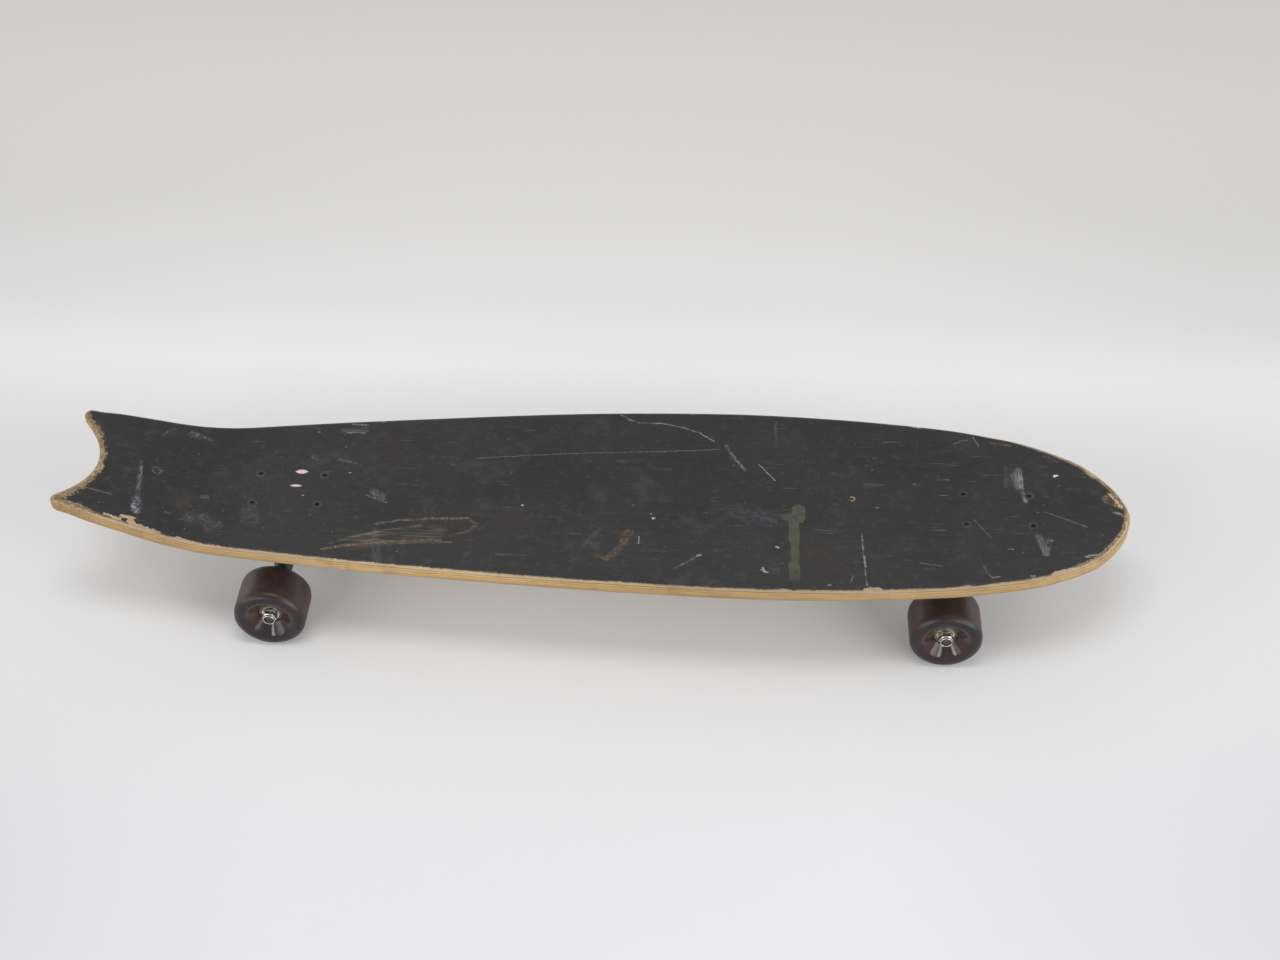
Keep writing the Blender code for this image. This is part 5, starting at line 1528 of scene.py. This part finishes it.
def make_axle(truck):
    """The steel axle with its threaded ends."""
    line = across_frame(spot_at(truck, 0, AXLE_Z), 1)
    smooth = WHEEL_Y + SPEED_RING_END
    end = ((AXLE_RADIUS, smooth, 0), *thread(AXLE_RADIUS, smooth, AXLE_HALF - 0.0007, AXLE_THREAD_PITCH),
           (AXLE_RADIUS - 0.0007, AXLE_HALF, 0.0002), (0, AXLE_HALF, 0))
    tips = [(-1, 0.0045, *sorted((side * smooth, side * 1.0)), 1) for side in (-1, 1)]
    axle = spun(truck.name + "_axle_rod", flipped(end) + end, line, [STEEL, DULL_STEEL], SMALL_STEPS,
                bands=tips)
    dress(axle, truck.name + "_axle")


def make_axle_stack(name, frame):
    """What stays still in a wheel: a lock nut, and the sleeve of inner races, spacer and speed rings."""
    half = ((SHAFT_BORE, SPEED_RING_END, 0.0001), (SPEED_RING_RADIUS, SPEED_RING_END, 0.00025),
            (SPEED_RING_RADIUS, SPEED_RING_START, 0.0001), (INNER_RACE_RADIUS, SPEED_RING_START, 0))
    sleeve = spun(name + "_sleeve", half + flipped(half), frame, [STEEL])
    dress(sleeve, name + "_bearing_sleeve")
    nut = lock_nut(name + "_lock_nut", SHAFT_BORE, AXLE_NUT_RADIUS, AXLE_NUT_START,
                   AXLE_NUT_START + AXLE_NUT, frame)
    dress(nut, name + "_axle_nut")


# Wheels

def make_wheel(name, frame):
    """A wheel with the outer races and shields of its two bearings."""
    half = TYRE_WIDTH / 2
    seat = BEARING_RADIUS + RUNNING_FIT
    rim = BEARING_END + CORE_RECESS
    shoulder = SPACER_LENGTH / 2
    outer = ((CORE_BORE, shoulder, 0), (seat, shoulder, 0), (seat, rim, 0.0005),
             (TYRE_DISH_RADIUS, half, DISH_FILLET), (AXLE_Z, half, TYRE_LIP_RADIUS))
    section = []
    points = rounded(outer + flipped(outer))
    for before, after in zip(points, points[1:] + points[:1]):
        steps = max(int((after - before).length / WHEEL_SECTION_STEP), 1)
        section += [before.lerp(after, k / steps) for k in range(steps)]
    mesh = spun_mesh(name + "_urethane", section, WHEEL_STEPS, frame)
    worn = []
    for radius in mesh.attributes["radius"].data:
        out = (radius.value - TYRE_DISH_RADIUS) / (AXLE_Z - TYRE_DISH_RADIUS)
        worn.append(min(max(out, 0.0), 1.0))
    give(mesh, "worn", worn)
    dress(shown(name + "_urethane", mesh, [URETHANE]), name + "_wheel")
    race = OUTER_RACE_BORE
    face = BEARING_END - SHIELD_RECESS
    lip = INNER_RACE_RADIUS + RUNNING_FIT
    corners = (
        (race, BEARING_START, 0), (BEARING_RADIUS, BEARING_START, 0.0003),
        (BEARING_RADIUS, BEARING_END, 0.0002), (race, BEARING_END, 0.0001),
        (race, face, 0), (race - 0.0006, face, 0.0001), (race - 0.0009, face - 0.0002, 0.0001),
        (lip + 0.0006, face - 0.0002, 0.0001), (lip, face - 0.0003, 0),
        (lip, face - SHIELD_THICKNESS, 0), (race, face - SHIELD_THICKNESS, 0))
    for place, side in (("outboard", 1), ("inboard", -1)):
        facing = [(radius, side * height, fillet) for radius, height, fillet in corners]
        band = ((lip - 0.001, race - 0.00001, *sorted((side * 0.006, side * 0.0125)), 1),)
        bearing = spun(f"{name}_{place}_race", facing, frame, [RACE, SHIELD], bands=band)
        dress(bearing, f"{name}_{place}_bearing")


def make_truck(truck):
    """One truck with its wheels."""
    make_riser(truck)
    make_baseplate(truck)
    make_deck_fasteners(truck)
    make_kingpin(truck)
    make_pivot_cup(truck)
    make_hanger(truck)
    make_axle(truck)
    for side_name, side in SIDES:
        wheel_frame = across_frame(spot_at(truck, 0, AXLE_Z, side * WHEEL_Y), side)
        name = truck.name + "_" + side_name
        make_axle_stack(name, wheel_frame)
        make_wheel(name, wheel_frame)


# Stage

def make_floor():
    """A wide pale floor with painted light and shade: a little darker near the camera, far away and to the
    sides, and lighter in a band behind the board.
    """
    mesh = bpy.data.meshes.new("floor")
    corners = [(FLOOR_HALF * x, FLOOR_HALF * y, 0) for x, y in ((-1, -1), (1, -1), (1, 1), (-1, 1))]
    mesh.from_pydata(corners, [], [(0, 1, 2, 3)])
    look = Look("floor", roughness=0.9, specular=0.2)
    parts = look.split(look.place())
    # Painted light and shade along the floor, and a painted band of light that lifts the shade the lamps
    # cast behind the board
    along = look.ramp(look.line(parts[1], -0.6, 1.6), (
        (0.0, srgb(223, 223, 224)), (0.1, srgb(225, 225, 226)), (0.2, srgb(229, 229, 229)),
        (0.36, srgb(229, 229, 228)), (0.42, srgb(237, 237, 236)), (0.47, srgb(226, 225, 224)),
        (0.57, srgb(217, 216, 213)), (0.73, srgb(215, 213, 209)), (1.0, srgb(208, 205, 201))))
    # Painted shade: the floor is darker to the sides, most of all in front of the board
    full, dim = (1, 1, 1, 1), (0.84, 0.84, 0.84, 1)
    painted_side_shade = look.ramp(look.line(parts[0], -0.8, 0.8), ((0.0, dim), (0.34, full), (0.66, full), (0.95, dim)))
    share = look.math("MULTIPLY", look.step(parts[1], -0.45, 0.0, 1.0, 0.35),
                      look.step(parts[1], 0.5, 1.0, 1.0, 0.0))
    colour = look.mix(share, along, painted_side_shade, "MULTIPLY")
    mesh.materials.append(look.finish(colour))
    placed("floor", mesh)


def make_lamp(name, place, aim, size, power, colour=(1, 1, 1)):
    """A soft rectangular lamp that faces a point."""
    lamp = bpy.data.lights.new(name, "AREA")
    lamp.shape = "RECTANGLE"
    lamp.size, lamp.size_y = size
    lamp.energy = power
    lamp.color = colour
    obj = placed(name, lamp)
    obj.visible_camera = False
    direction = Vector(aim) - Vector(place)
    obj.matrix_world = Matrix.Translation(place) @ direction.to_track_quat("-Z", "Y").to_matrix().to_4x4()


def make_world():
    """A room that is bright at both sides of the camera and low behind, and dimmer overhead."""
    world = bpy.data.worlds.new("studio")
    bpy.context.scene.world = world
    world.use_nodes = True
    nodes = Nodes(world.node_tree)
    background = nodes.tree.nodes["Background"]
    background.inputs["Color"].default_value = srgb(250, 250, 252)
    across, back, up = nodes.split(nodes.node("ShaderNodeTexCoord").outputs["Generated"])
    front_wall = nodes.step(across, 0.42, 0.74, nodes.step(across, -0.74, -0.42, 3.1, 0.72), 4.5)
    front_wall = nodes.step(up, 0.50, 0.75, front_wall, 0.25)
    back_wall = nodes.step(up, 0.50, 0.75, nodes.step(up, 0.20, 0.40, 1.6, 0.9), 0.45)
    walls = nodes.step(back, -0.50, 0.10, front_wall, back_wall)
    level = nodes.step(up, -0.05, 0.0, 1.0, walls)
    seen = nodes.node("ShaderNodeLightPath").outputs["Is Camera Ray"]
    nodes.put(background.inputs["Strength"], nodes.line(seen, 0.0, 1.0, level, 0.85))


def make_lights():
    """A lamp overhead and two bright windows on both sides of the camera."""
    make_lamp("overhead", (-0.05, -0.35, 2.4), (0, 0, 0), (1.3, 0.7), 13.8)
    make_lamp("window_right", (0.82, -1.04, 0.49), (0.33, -0.1, 0.03), (0.2, 0.36), 1.5, (0.92, 0.96, 1.0))
    make_lamp("window_left", (-1.43, -3.06, 1.35), (0, 0, 0), (0.5, 1.1), 13)


def make_camera():
    """The camera of the photograph: turned by its yaw, then down by its pitch, then rolled."""
    yaw, pitch, roll = CAMERA_YAW, CAMERA_PITCH, CAMERA_ROLL
    forward = Vector((math.sin(yaw) * math.cos(pitch), math.cos(yaw) * math.cos(pitch), -math.sin(pitch)))
    level = Vector((math.cos(yaw), -math.sin(yaw), 0))
    up = level.cross(forward)
    right = math.cos(roll) * level + math.sin(roll) * up
    up = -math.sin(roll) * level + math.cos(roll) * up
    camera = bpy.data.cameras.new("camera")
    camera.sensor_width = SENSOR_WIDTH
    camera.lens = CAMERA_LENS
    camera.clip_start = 0.01
    obj = placed("camera", camera)
    turn = Matrix((right, up, -forward)).transposed().to_4x4()
    obj.matrix_world = Matrix.Translation(CAMERA_PLACE) @ turn
    bpy.context.scene.camera = obj


make_camera()
make_deck()
for each_truck in TRUCKS:
    make_truck(each_truck)
make_floor()
make_world()
make_lights()
bpy.context.scene.view_settings.view_transform = "Standard"
